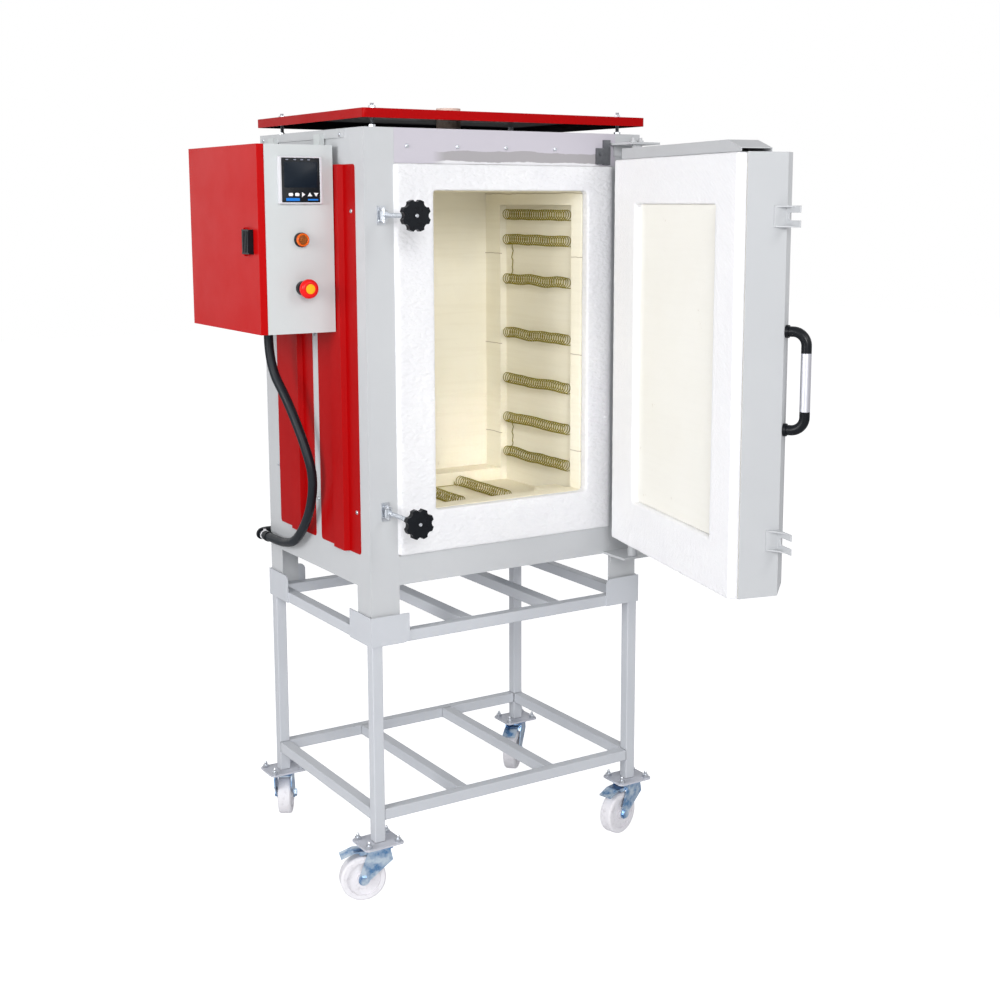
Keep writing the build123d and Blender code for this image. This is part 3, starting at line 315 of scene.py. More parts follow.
# Over the mouth the header is darker in a strip with a ragged top, and paler in a strip below it.
ragged = cloud(header_grey, place_of(header_grey, (0.35, 1, 1)), 0.03, 4.0, 0.6)
height = worked_out(header_grey, "MULTIPLY_ADD", (ragged, "Fac"), 0.016, axis_of(header_grey, "Z"))
over_mouth = [
    (*axis_of(header_grey, "X"), -0.110, -0.080),
    (*axis_of(header_grey, "X"), 0.318, 0.308),
    (*axis_of(header_grey, "Y"), 0.0560, 0.0550),
    above_foot,
]
patched(header_grey, [(height, "Value", 1.6082, 1.6072)] + over_mouth, colour(165, 162, 165))
patched(header_grey, [(height, "Value", 1.5872, 1.5862)] + over_mouth, colour(226, 225, 228))
dress(header_grey, "casing_frame")
eased(0.0022, "casing_frame", segments=3)
eased(0.0006, "hinge_brackets")

# Side panels and roof cover: thin sheet in signal red powder coat, the panels with one pressed rib each.
# The roof cover is a pan with turned-down edges that rests on nuts above the casing.
signal_red = powder_coat("signal red powder coat", colour(172, 2, 5), colour(162, 2, 4), 0.36, 0.08)
dress(signal_red, "side_panels")
roof_red = powder_coat("roof cover powder coat with painted shade", colour(172, 2, 5), colour(162, 2, 4), 0.36, 0.08)
# The inside of the pan, which faces the ground or the middle of the cover, is painted near-black: painted shade, as
# little light reaches it.
pan_middle, pan_painted_shade = (0.0816, 0.3166, 1.6810), colour(20, 16, 24)
faces = node(roof_red, "NewGeometry")
upward = node(roof_red, "SeparateXYZ")
join(roof_red, faces, "True Normal", upward, "Vector")
inward = node(roof_red, "VectorMath", operation="SUBTRACT")
inward.inputs[0].default_value = pan_middle
join(roof_red, place_of(roof_red), "Vector", inward, 1)
towards = node(roof_red, "VectorMath", operation="DOT_PRODUCT")
join(roof_red, faces, "True Normal", towards, 0)
join(roof_red, inward, "Vector", towards, 1)
# Painted shade: faces that point down or towards the pan's middle take the near-black colour.
patched(roof_red, [(upward, "Z", -0.5, -0.8)], pan_painted_shade)
patched(roof_red, [(towards, "Value", 0.02, 0.04)], pan_painted_shade)
dress(roof_red, "roof_cover")
eased(0.0011, "roof_cover")

# Vent tube: fired ceramic, slightly pink, with a rough sawn end above the roof.
vent_clay = finish("fired vent clay", 0.85)
spot = place_of(vent_clay)
grain = cloud(vent_clay, spot, 0.006, 5.0, 0.7)
coloured(vent_clay, tinted(vent_clay, grain, "Fac", colour(236, 214, 204), colour(216, 196, 182)))
raised(vent_clay, [(grain, "Fac", 0.0008), (cloud(vent_clay, spot, 0.0015), "Fac", 0.0003)])
dress(vent_clay, "vent_tube")

# Fasteners: zinc-plated pan-head screws with a cross recess, threaded studs and chamfered hex nuts.
# Heads are made once, with their recess cut in, and set at every hole.
steel = mottled(
    "bright zinc steel", colour(214, 217, 222), colour(180, 184, 190), 0.01, (0.0012, 0.00004), 0.3, 1.0,
    swing=(0.22, 0.42), detail=4.0)


def turned(profile, count=28):
    # A solid of revolution round +Z from (radius, height) pairs, both in metres.
    made = bmesh.new()
    rings = []
    for radius, height in profile:
        if radius < 1e-7:
            rings.append([made.verts.new((0, 0, height))])
        else:
            turn = [2 * math.pi * n / count for n in range(count)]
            rings.append([made.verts.new((radius * math.cos(a), radius * math.sin(a), height)) for a in turn])
    for low, high in zip(rings, rings[1:]):
        for n in range(count):
            m = (n + 1) % count
            if len(low) == 1:
                made.faces.new((low[0], high[m], high[n]))
            elif len(high) == 1:
                made.faces.new((low[n], low[m], high[0]))
            else:
                made.faces.new((low[n], low[m], high[m], high[n]))
    for ring, flip in ((rings[0], True), (rings[-1], False)):
        if len(ring) > 1:
            made.faces.new(list(reversed(ring)) if flip else ring)
    bmesh.ops.recalc_face_normals(made, faces=made.faces)
    mesh = bpy.data.meshes.new("turned")
    made.to_mesh(mesh)
    made.free()
    return mesh


def settled(mesh, angle=32):
    # Smooth shading with the real edges kept sharp.
    mesh.shade_smooth()
    mesh.set_sharp_from_angle(angle=math.radians(angle))
    return mesh


def cut_by(mesh, cutter, operation="DIFFERENCE"):
    body = bpy.data.objects.new("body", mesh)
    tool = bpy.data.objects.new("tool", cutter)
    scene.collection.objects.link(body)
    scene.collection.objects.link(tool)
    knife = body.modifiers.new("knife", "BOOLEAN")
    knife.object = tool
    knife.operation = operation
    knife.solver = "EXACT"
    bpy.context.view_layer.update()
    seen = body.evaluated_get(bpy.context.evaluated_depsgraph_get())
    made = bpy.data.meshes.new_from_object(seen)
    for done in (body, tool):
        bpy.data.objects.remove(done)
    return made


def boxes(spans):
    made = bmesh.new()
    for x0, x1, y0, y1, z0, z1 in spans:
        size = Matrix.Diagonal((x1 - x0, y1 - y0, z1 - z0, 1))
        at = Matrix.Translation(((x0 + x1) / 2, (y0 + y1) / 2, (z0 + z1) / 2))
        bmesh.ops.create_cube(made, size=1.0, matrix=at @ size)
    mesh = bpy.data.meshes.new("boxes")
    made.to_mesh(mesh)
    made.free()
    return mesh


def gathered(parts):
    # One mesh of many copies, each given as (mesh, matrix).
    made = bmesh.new()
    for mesh, matrix in parts:
        copy = mesh.copy()
        copy.transform(matrix)
        made.from_mesh(copy)
        bpy.data.meshes.remove(copy)
    mesh = bpy.data.meshes.new("gathered")
    made.to_mesh(mesh)
    made.free()
    return mesh


def facing(at, direction):
    # Sets +Z of a copy along a direction, at a point.
    return Matrix.Translation(at) @ Vector(direction).to_track_quat("Z", "Y").to_matrix().to_4x4()


pan = turned([(0.0046, 0.0), (0.0046, 0.0008), (0.0041, 0.0018), (0.003, 0.0024), (0.0016, 0.0026), (0, 0.0026)])
long_way, wide_way, deep_way = (-0.0024, 0.0024), (-0.0005, 0.0005), (0.0012, 0.004)
pan_head = cut_by(pan, boxes([long_way + wide_way + deep_way]))
pan_head = cut_by(pan_head, boxes([wide_way + long_way + deep_way]))
hexagon = turned([(0.0075, 0.0), (0.0075, 0.0001), (0.0075, 0.007)], 6)
crown = turned([(0.0066, -0.001), (0.0072, 0.0), (0.0077, 0.0006), (0.0077, 0.0064), (0.0066, 0.0072)], 40)
nut = cut_by(hexagon, crown, "INTERSECT")
thread = turned([(0.0036 + 0.0004 * (n % 2), 0.0006 * n) for n in range(84)], 16)
short_thread = turned([(0.0036 * (1 - max(0, n - 14) / 10), 0.0006 * n) for n in range(20)], 14)
bolt_head = turned([(0.0062, 0.0), (0.0062, 0.0015), (0.0052, 0.0028), (0, 0.003)])
# The outer edges of the casing, and the faces that heads and nuts lie on.
left, right, front, back = -0.270, 0.427, 0.0485, 0.5735
casing_left, casing_right, casing_front = -0.268, 0.425, 0.0542
plate_top = 0.1280
parts = []
# Roof studs with three nuts each, then the bolts of the caster plates.
for x in (left + 0.040, right - 0.040):
    for y in (front + 0.040, front + 0.488):
        parts.append((thread, Matrix.Translation((x, y, 1.643))))
        for z in (1.6431, 1.6729, 1.6811):
            spin = Matrix.Rotation(x * 9 + y * 5 + z * 400, 4, "Z")
            parts.append((nut, Matrix.Translation((x, y, z)) @ spin))
for x in (left + 0.0125, right - 0.0125):
    for y in (front + 0.0125, back - 0.0125):
        for dx in (-0.035, 0.035):
            for dy in (-0.027, 0.027):
                spin = Matrix.Rotation(x * 30 + dx * 90 + dy * 50, 4, "Z")
                parts.append((nut, Matrix.Translation((x + dx, y + dy, plate_top)) @ spin))
                parts.append((short_thread, Matrix.Translation((x + dx, y + dy, 0.1325))))
                parts.append((bolt_head, facing((x + dx, y + dy, plate_under), (0, 0, -1))))
# Screws of the header, of the side panels and strips, and of the top brackets.
for x in (0.1005, 0.2196, 0.3394, 0.4645):
    spin = Matrix.Rotation(x * 20, 4, "Z")
    parts.append((pan_head, facing((left + x, casing_front, 1.6075), (0, -1, 0)) @ spin))
side_screws = (
    (0.064, 1.476), (0.061, 0.846), (0.254, 0.844), (0.468, 0.890), (0.254, 1.209), (0.254, 1.540), (0.468, 1.500),
)
for y, z in side_screws:
    lift = 0.001 if y < 0.067 else 0.0
    for x, way in ((casing_left, -1), (casing_right, 1)):
        spin = Matrix.Rotation(y * 70 + z * 9, 4, "Z")
        parts.append((pan_head, facing((x + way * lift, front + y, z), (way, 0, 0)) @ spin))
for y in (0.1075, 0.500):
    for x, way in ((casing_left - 0.003, -1), (casing_right + 0.003, 1)):
        parts.append((pan_head, facing((x, front + y, 1.632), (way, 0, 0))))
piece("screws_and_nuts", settled(gathered(parts)), steel, "kiln", "steel", "fasteners")

# Hose fittings: black nylon gland with its lock nut, an elbow that takes the hose behind the rear post,
# a clip screwed to that post, and a white tie pulled tight on the hose.
fitting_black = mottled(
    "fitting black", colour(6, 9, 14), colour(19, 23, 29), 0.02, (0.001, 0.00006), 0.4,
    gloss=0.2, swing=(0.34, 0.5))


def tube(points, radius):
    line = bpy.data.curves.new("tube", "CURVE")
    line.dimensions = "3D"
    line.bevel_depth = radius
    line.bevel_resolution = 5
    line.use_fill_caps = True
    run = line.splines.new("POLY")
    run.points.add(len(points) - 1)
    for point, at in zip(run.points, points):
        point.co = tuple(at) + (1.0,)
    made = bpy.data.objects.new("tube", line)
    scene.collection.objects.link(made)
    bpy.context.view_layer.update()
    mesh = bpy.data.meshes.new_from_object(made.evaluated_get(bpy.context.evaluated_depsgraph_get()))
    bpy.data.objects.remove(made)
    return mesh


def ring_round(inner, outer, half, grip=0.0):
    # A band with rounded edges round +Z, open in the middle.
    soft = (outer - inner) * 0.3
    return turned([
        (inner, -half), (outer - soft, -half), (outer, -half + soft), (outer + grip, 0), (outer, half - soft),
        (outer - soft, half), (inner, half), (inner, -half),
    ], 40)


hose_end = Vector(hose_route[-1])
gland = Vector(hose_route[0])
lock_nut = turned([(0.0150, 0.0), (0.0170, 0.0012), (0.0170, 0.0080)], 6)
gland_body = turned([(0.0108, 0.0), (0.0124, 0.0006), (0.0135, 0.0030), (0.0135, 0.0100), (0.0, 0.0100)], 40)
bend_radius = 0.0165
quarter = [math.radians(9 * n) for n in range(11)]
bend = [hose_end + Vector((bend_radius * (1 - math.cos(a)), bend_radius * math.sin(a), 0)) for a in quarter]
clip_at = Vector((hose_end.x, 0.5405, hose_end.z))
strap = boxes([(
    clip_at.x + 0.0112, casing_left, clip_at.y - 0.005, clip_at.y + 0.005, clip_at.z - 0.007, clip_at.z - 0.0045,
)])
black_parts = [
    (lock_nut, Matrix.Translation(gland + Vector((0, 0, 0.0100)))),
    (gland_body, Matrix.Translation(gland)),
    (tube([hose_end] + bend + [Vector((-0.231, bend[-1].y, hose_end.z))], 0.0122), Matrix()),
    (ring_round(0.0104, 0.0136, 0.0035), facing(hose_end + Vector((0, 0.0015, 0)), (0, 1, 0))),
    (ring_round(0.0122, 0.0136, 0.0040), facing((-0.240, bend[-1].y, hose_end.z), (1, 0, 0))),
    (ring_round(0.0103, 0.0120, 0.0045), facing(clip_at, (0, 1, 0))),
    (strap, Matrix()),
]
piece("gland_clip_and_elbow", settled(gathered(black_parts)), fitting_black, "kiln", "hose_black", "hose_fittings")
tie_white = mottled("white tie", colour(240, 240, 242), colour(226, 226, 230), 0.004, (0.0008, 0.00005))
tie_at = Vector((hose_end.x, 0.5600, hose_end.z))
tie_parts = [
    (ring_round(0.0103, 0.0114, 0.0020), facing(tie_at, (0, 1, 0))),
    (boxes([(-0.0025, 0.0025, -0.0024, 0.0024, 0.0104, 0.0142)]), Matrix.Translation(tie_at)),
]
piece("hose_tie", settled(gathered(tie_parts)), tie_white, "kiln", "key_white")

# Chamber: lightweight insulating bricks and boards, cream, with fired joints, pores and a few brown stains.
# The side walls are recessed for the elements, the floor has ledges and two corner blocks.
chamber_middle = 0.083


def fired_brick(name, pale, dark, joints=(), grain=0.16):
    # Joints are the heights of the seams between boards, which show on the front strips of the side walls.
    clay = finish(name, 0.92)
    spot = place_of(clay)
    patches = cloud(clay, spot, 0.16, 5.0, 0.6)
    pores = node(clay, "TexVoronoi", Scale=1 / 0.0035)
    join(clay, spot, "Vector", pores, "Vector")
    pits = spread(clay, pores, "Distance", 0.06, 0.2, 1.0, 0.0)
    brown = cloud(clay, spot, 0.035, 6.0, 0.75)
    stains = spread(clay, brown, "Fac", 0.67, 0.80, 0.0, 0.55)
    layers = cloud(clay, place_of(clay, (1.2, 1.2, 26)), 0.25, 3.0)
    lines = spread(clay, layers, "Fac", 0.50, 0.60, 0.0, grain)
    first = tinted(clay, patches, "Fac", pale, dark)
    second = tinted(clay, lines, "Result", first, tuple(0.90 * c for c in dark[:3]) + (1.0,))
    last = tinted(clay, stains, "Result", second, colour(150, 122, 84))
    axes = axis_of(clay, "Z")[0]
    wander = cloud(clay, place_of(clay, (1, 1, 0.2)), 0.05, 2.0)
    for level in joints:
        drift = worked_out(clay, "MULTIPLY_ADD", (wander, "Fac"), 0.006, -level - 0.003)
        off = worked_out(clay, "ADD", (axes, "Z"), (drift, "Value"))
        away = worked_out(clay, "ABSOLUTE", (off, "Value"))
        crack = spread(clay, away, "Value", 0.0003, 0.0012, 0.7, 0.0)
        beside = worked_out(clay, "SUBTRACT", (axes, "X"), chamber_middle)
        outward = worked_out(clay, "ABSOLUTE", (beside, "Value"))
        on_strip = worked_out(clay, "COMPARE", (outward, "Value"), 0.1960, 0.0035)
        shown = worked_out(clay, "MULTIPLY", (crack, "Result"), (on_strip, "Value"))
        last = tinted(clay, shown, "Value", last, colour(132, 108, 74))
    coloured(clay, last)
    raised(clay, [(patches, "Fac", 0.002), (pits, "Result", 0.0004), (cloud(clay, spot, 0.0012), "Fac", 0.0003)])
    return clay


board_joints = (1.514, 1.372, 1.153, 0.932)
brick = fired_brick("insulating brick", colour(254, 251, 237), colour(250, 243, 222), board_joints)
floor_brick = fired_brick("floor brick", colour(253, 248, 232), colour(248, 240, 214))
dress(brick, "chamber_walls")
dress(floor_brick, "hearth_slab", "ceiling_slab")
eased(0.0018, "chamber_walls", "hearth_slab")

# Heating elements: wire of 2 mm wound on a mandrel and drawn out, seven coils on each side wall, two in the floor.
# The wire has an olive oxide skin; links of straight wire join the coils at the back of the walls.
element = mottled(
    "oxidised element wire", colour(170, 156, 50), colour(118, 107, 26), 0.02, (0.0008, 0.00008), 0.45, 0.2,
    swing=(0.42, 0.62), detail=4.0)
winding = bpy.data.curves.new("winding", "CURVE")
winding.dimensions = "3D"
winding.bevel_depth = 0.00105
winding.bevel_resolution = 1
winding.use_fill_caps = True


def wire(points):
    run = winding.splines.new("POLY")
    run.points.add(len(points) - 1)
    for point, at in zip(run.points, points):
        point.co = tuple(at) + (1.0,)


def wound(start, length, side, turns, seed):
    # A close coil along +Y from a point, with short tails into the wall behind it.
    side = Vector(side)
    up = Vector((0, 1, 0)).cross(side)
    radius = 0.0118
    steps = 14
    tail = -side * 0.0125 - up * radius * 0.4
    neck = -side * 0.008 - up * radius
    path = [start + tail, start + neck]
    for n in range(turns * steps + 1):
        share = n / (turns * steps)
        angle = 2 * math.pi * n / steps
        sway = noise.noise(Vector((seed * 3.7, share * 4.2, 0.0))) * 0.0032 * min(1, 6 * share)
        squeeze = noise.noise(Vector((seed * 1.9, share * 9.0, 5.0))) * 0.0012
        along = share * length + 0.0018 * noise.noise(Vector((seed, share * 14.0, 9.0)))
        centre = start + Vector((0, along, 0)) + up * sway
        path.append(centre + up * (-(radius + squeeze * 0.5) * math.cos(angle)) + side * (radius * math.sin(angle)))
    wire(path + [centre + neck, centre + tail])


wall_right, wall_left = 0.295, -0.1289
levels = (1.465, 1.406, 1.312, 1.182, 1.070, 0.975, 0.890)
coil_start, coil_length, coil_off = 0.1285, 0.266, 0.0128
wall_turns, floor_turns = 28, 24
for row, z in enumerate(levels):
    wound(Vector((wall_right - coil_off, coil_start, z)), coil_length, (-1, 0, 0), wall_turns, row + 1)
    wound(Vector((wall_left + coil_off, coil_start, z)), coil_length, (1, 0, 0), wall_turns, row + 11)
for n, x in enumerate((0.02105, 0.14505)):
    wound(Vector((x, 0.1685, 0.828)), 0.226, (0, 0, 1), floor_turns, n + 21)
for x, way in ((wall_right - 0.0024, -1), (wall_left + 0.0024, 1)):
    for high, low in ((1.394, 1.325), (0.963, 0.903)):
        y = coil_start + coil_length - 0.014
        bent = []
        for n in range(10):
            aside = y + 0.0012 * math.sin(1.3 * n + x * 9)
            bent.append((x + way * 0.0015 * math.sin(2.1 * n), aside, high + (low - high) * n / 9))
        wire([(x + way * 0.009, y, high + 0.004)] + bent + [(x + way * 0.009, y, low - 0.004)])
trough_link = [
    (0.033, 0.392, 0.8185), (0.050, 0.398, 0.8170), (0.083, 0.400, 0.8168), (0.116, 0.398, 0.8170),
    (0.133, 0.392, 0.8185),
]
wire(trough_link)
coils = bpy.data.objects.new("coils", winding)
scene.collection.objects.link(coils)
bpy.context.view_layer.update()
coil_mesh = bpy.data.meshes.new_from_object(coils.evaluated_get(bpy.context.evaluated_depsgraph_get()))
bpy.data.objects.remove(coils)
piece("element_coils", settled(coil_mesh, 60), element, "kiln", "element_wire", "heating_elements")

# Thermocouple: closed ceramic sheath through the back wall.
sheath = mottled(
    "ceramic sheath", colour(238, 232, 220), colour(214, 202, 182), 0.015, (0.001, 0.0001), 0.4,
    swing=(0.35, 0.55), detail=4.0)
dress(sheath, "thermocouple")

# Fibre frame round the mouth and backing fibre: needled ceramic fibre board, white, soft to the touch.
# Its edges are soft and a little uneven, and its face is pebbled.
fibre = finish("ceramic fibre", 0.95)
spot = place_of(fibre)
fluff = cloud(fibre, spot, 0.005, 6.0, 0.7)
pebbles = cloud(fibre, place_of(fibre, (1, 1, 1.6)), 0.010, 1.5, 0.4)
haze = cloud(fibre, spot, 0.12, 3.0)
shade = spread(fibre, haze, "Fac", 0.35, 0.75, 0.0, 0.8)
coloured(fibre, tinted(fibre, shade, "Result", colour(231, 231, 233), colour(223, 223, 227)))
raised(fibre, [(pebbles, "Fac", 0.0024), (fluff, "Fac", 0.0003)])
shader_of(fibre).inputs["Sheen Weight"].default_value = 0.25
shader_of(fibre).inputs["Sheen Roughness"].default_value = 0.6


def fluffed(name, voxel, depth, seed):
    # A fibre board from the CAD solid: rounded at its edges and a little uneven all over.
    source = nodes[name]
    shape = bpy.data.objects.new("shape", source.data.copy())
    scene.collection.objects.link(shape)
    weld = shape.modifiers.new("weld", "WELD")
    weld.merge_threshold = 0.00001
    grid = shape.modifiers.new("grid", "REMESH")
    grid.mode = "VOXEL"
    grid.voxel_size = voxel
    calm = shape.modifiers.new("calm", "SMOOTH")
    calm.iterations = 3
    bpy.context.view_layer.update()
    mesh = bpy.data.meshes.new_from_object(shape.evaluated_get(bpy.context.evaluated_depsgraph_get()))
    bpy.data.objects.remove(shape)
    moves = []
    for vertex in mesh.vertices:
        at = vertex.co
        broad = noise.noise(at * 14 + Vector((seed, 0, 0)))
        small = noise.noise(at * 70 + Vector((0, seed, 0)))
        fine = noise.noise(at * 190 + Vector((0, 0, seed)))
        moves.append(-vertex.normal * depth * (0.55 + 0.25 * broad + 0.25 * small + 0.2 * fine))
    for vertex, move in zip(mesh.vertices, moves):
        vertex.co = vertex.co + move
    mesh.shade_smooth()
    return mesh


piece("mouth_fibre", fluffed("fibre_frame", 0.004, 0.0009, 3.0), fibre, "kiln", "fibre_white", "fibre_frame")
dress(fibre, "backing_fibre")

# Door: folded grey shell with bevelled edges, filled with insulating boards.
# A frame of ceramic fibre goes round the brick panel on its inner side.
def ribbed(material, place, width, **settings):
    # Even bands, one to every width, in metres.
    one_band = 0.314
    made = node(material, "TexWave", Scale=one_band / width, **settings)
    join(material, place, "Vector", made, "Vector")
    return made


dress(casing_grey, "door_shell", "door_cowl")
eased(0.0014, "door_shell")
panel_brick = fired_brick("door panel brick", colour(246, 245, 240), colour(242, 240, 232), grain=0.05)
dress(panel_brick, "door_lining")
woven = finish("needled fibre blanket", 0.95)
spot = place_of(woven)
slant = place_of(woven, (1, 1, 1), (math.radians(-38), 0, 0))
twill = ribbed(woven, slant, 0.0075, Distortion=1.2, Detail=2.0, Detail_Scale=1.5, bands_direction="Z")
breaks = cloud(woven, place_of(woven, (1, 1, 0.6)), 0.009, 2.0)
fluff = cloud(woven, spot, 0.004, 6.0, 0.7)
haze = cloud(woven, spot, 0.10, 3.0)
coloured(woven, tinted(woven, haze, "Fac", colour(246, 246, 248), colour(239, 239, 243)))
raised(woven, [(twill, "Fac", 0.0004), (breaks, "Fac", 0.0012), (fluff, "Fac", 0.0005)])
shader_of(woven).inputs["Sheen Weight"].default_value = 0.25
shader_of(woven).inputs["Sheen Roughness"].default_value = 0.6
piece("door_fibre", fluffed("door_blanket", 0.004, 0.0012, 8.0), woven, "door", "fibre_white", "door_blanket")

# Forks on the door's free edge: pressed steel, painted with the shell, slotted for the clamp bolts.
dress(casing_grey, "door_forks")
eased(0.0006, "door_forks")

# Handle: two glossy black plastic ends and a bright anodised tube between them.
black = mottled(
    "black plastic", colour(5, 8, 13), colour(17, 21, 27), 0.02, (0.0009, 0.00005), 0.28,
    gloss=0.2, swing=(0.22, 0.4), detail=5.0, share=0.65)
dress(black, "handle_ends")
anodised = finish("anodised tube", 0.38, 1.0)
spot = place_of(anodised)
draw = cloud(anodised, place_of(anodised, (60, 60, 1)), 0.05, 2.0)
coloured(anodised, tinted(anodised, draw, "Fac", colour(222, 222, 228), colour(196, 197, 206)))
roughened(anodised, draw, "Fac", 0.32, 0.46)
raised(anodised, [(draw, "Fac", 0.00004)])
dress(anodised, "handle_grip")

# Clamps: zinc-plated swing bolts and brackets, thrust washers, and star knobs of black plastic.
dress(steel, "clamp_brackets", "clamp_washer_upper", "clamp_washer_lower")
threaded = finish("threaded bolt", 0.3, 1.0)
spot = place_of(threaded)
worn = cloud(threaded, spot, 0.01, 4.0)
pitch = ribbed(threaded, spot, 0.00125, Distortion=0.0, bands_direction="Y")
coloured(threaded, tinted(threaded, worn, "Fac", colour(216, 220, 226), colour(178, 184, 192)))
roughened(threaded, worn, "Fac", 0.24, 0.42)
raised(threaded, [(pitch, "Fac", 0.0005)])
dress(threaded, "swing_bolt_upper", "swing_bolt_lower")
dress(black, "star_knob_upper", "star_knob_lower")
socket = turned([(0.0019, 0.0006), (0.0019, 0.004), (0, 0.004)], 6)
knob_screw = cut_by(turned([(0.0036, -0.001), (0.0036, 0.0006), (0.0031, 0.0012), (0, 0.0012)]), socket)
for level, end in ((1.468, "upper"), (0.853, "lower")):
    head = knob_screw.copy()
    head.transform(facing((-0.231, -0.0985, level), (0, -1, 0)))
    piece("knob_screw_" + end, settled(head), steel, "knob_" + end, "steel")

# Door switch: a plated bar and a grey block with its plunger, screwed to the header.
dark_metal = mottled(
    "dull plated metal", colour(128, 130, 134), colour(94, 96, 100), 0.012, (0.0015, 0.0001), 0.45, 0.8,
    swing=(0.35, 0.55), detail=5.0)
dress(dark_metal, "door_switch", "stop_stem")

# Control box: grey sheet housing with a red hinged lid on its outer side and a black latch.
box_grey = powder_coat("control box powder coat", colour(204, 209, 209), colour(198, 202, 203), 0.4)
dress(box_grey, "control_box")
eased(0.0011, "control_box")
lid_red = powder_coat("lid powder coat", colour(189, 4, 6), colour(179, 3, 5), 0.34, 0.12)
dress(lid_red, "box_lid")
eased(0.0011, "box_lid")
dress(black, "box_latch")
grey_plastic = mottled(
    "grey equipment plastic", colour(160, 162, 166), colour(148, 150, 155), 0.02, (0.001, 0.00008))
dress(grey_plastic, "box_equipment")

# Temperature controller: black panel instrument, 96 mm square, held in the front sheet by its silver-grey bezel.
# Behind the smoked window there is the display; five membrane keys with white symbols lie in a row below it.
def rounded(width, height, radius, corner=6):
    # Outline of a rounded rectangle in X and Z, anticlockwise, round the origin.
    points = []
    for cx, cz, start in ((1, 1, 0), (-1, 1, 90), (-1, -1, 180), (1, -1, 270)):
        for n in range(corner + 1):
            angle = math.radians(start + 90 * n / corner)
            x = cx * (width / 2 - radius) + radius * math.cos(angle)
            z = cz * (height / 2 - radius) + radius * math.sin(angle)
            points.append((x, z))
    return points


def lofted(outlines, closed=True):
    # Skins a row of outlines, each (points in X and Z, Y), and closes both ends or joins them to a ring.
    made = bmesh.new()
    rows = [[made.verts.new((x, y, z)) for x, z in points] for points, y in outlines]
    pairs = list(zip(rows, rows[1:])) + ([] if closed else [(rows[-1], rows[0])])
    for low, high in pairs:
        for n in range(len(low)):
            m = (n + 1) % len(low)
            made.faces.new((low[n], low[m], high[m], high[n]))
    if closed:
        made.faces.new(rows[0])
        made.faces.new(list(reversed(rows[-1])))
    bmesh.ops.recalc_face_normals(made, faces=made.faces)
    mesh = bpy.data.meshes.new("lofted")
    made.to_mesh(mesh)
    made.free()
    return mesh


def set_at(mesh, x, z):
    mesh.transform(Matrix.Translation((x, 0, z)))
    return mesh


unit_x, unit_z, unit_front = -0.3573, 1.5385, 0.1601
bezel_grey = mottled(
    "silver grey bezel", colour(214, 214, 218), colour(202, 202, 208), 0.02, (0.0012, 0.00004), 0.38,
    swing=(0.32, 0.44))
bezel = lofted([
    (rounded(0.0950, 0.0950, 0.0025), unit_front + 0.0090),
    (rounded(0.0960, 0.0960, 0.0030), unit_front + 0.0084),
    (rounded(0.0960, 0.0960, 0.0030), unit_front + 0.0012),
    (rounded(0.0946, 0.0946, 0.0026), unit_front + 0.0002),
    (rounded(0.0932, 0.0938, 0.0024), unit_front),
    (rounded(0.0862, 0.0906, 0.0020), unit_front),
    (rounded(0.0850, 0.0896, 0.0018), unit_front + 0.0006),
    (rounded(0.0846, 0.0892, 0.0018), unit_front + 0.0022),
    (rounded(0.0846, 0.0892, 0.0018), unit_front + 0.0090),
], closed=False)
piece("controller_bezel", settled(set_at(bezel, unit_x, unit_z)), bezel_grey, "kiln", "black_plastic", "controller")
case = lofted([
    (rounded(0.0880, 0.0880, 0.0020), unit_front + 0.0086),
    (rounded(0.0900, 0.0900, 0.0030), unit_front + 0.0100),
    (rounded(0.0900, 0.0900, 0.0030), 0.2379),
    (rounded(0.0880, 0.0880, 0.0020), 0.2391),
])
piece("controller_case", settled(set_at(case, unit_x, unit_z)), black, "kiln", "black_plastic", "controller")
mask = lofted([
    (rounded(0.0852, 0.0898, 0.0018), unit_front + 0.0050),
    (rounded(0.0852, 0.0898, 0.0018), unit_front + 0.0014),
    (rounded(0.0840, 0.0886, 0.0016), unit_front + 0.0010),
])
piece("controller_face", settled(set_at(mask, unit_x, unit_z)), black, "kiln", "black_plastic", "controller")
smoked = mottled(
    "smoked window", colour(13, 21, 31), colour(19, 29, 40), 0.03, None, 0.28,
    gloss=0.12, swing=(0.26, 0.34), swell=0.0001, detail=2.0)
window = lofted([
    (rounded(0.0740, 0.0520, 0.0024), unit_front + 0.0020),
    (rounded(0.0740, 0.0520, 0.0024), unit_front + 0.0008),
    (rounded(0.0732, 0.0512, 0.0022), unit_front + 0.0006),
])
piece("display_window", settled(set_at(window, unit_x, unit_z + 0.0110)), smoked, "kiln", "black_plastic", "controller")
key_white = mottled(
    "white keys", colour(244, 244, 246), colour(232, 232, 236), 0.004, (0.0008, 0.00004), 0.45, detail=4.0)


def symbol(points):
    # A mark with a bevelled edge that stands half a millimetre out of the instrument's front.
    front = unit_front - 0.0005
    inner = [(x * 0.9, z * 0.9) for x, z in points]
    return lofted([(points, front + 0.0027), (points, front + 0.0003), (inner, front)])


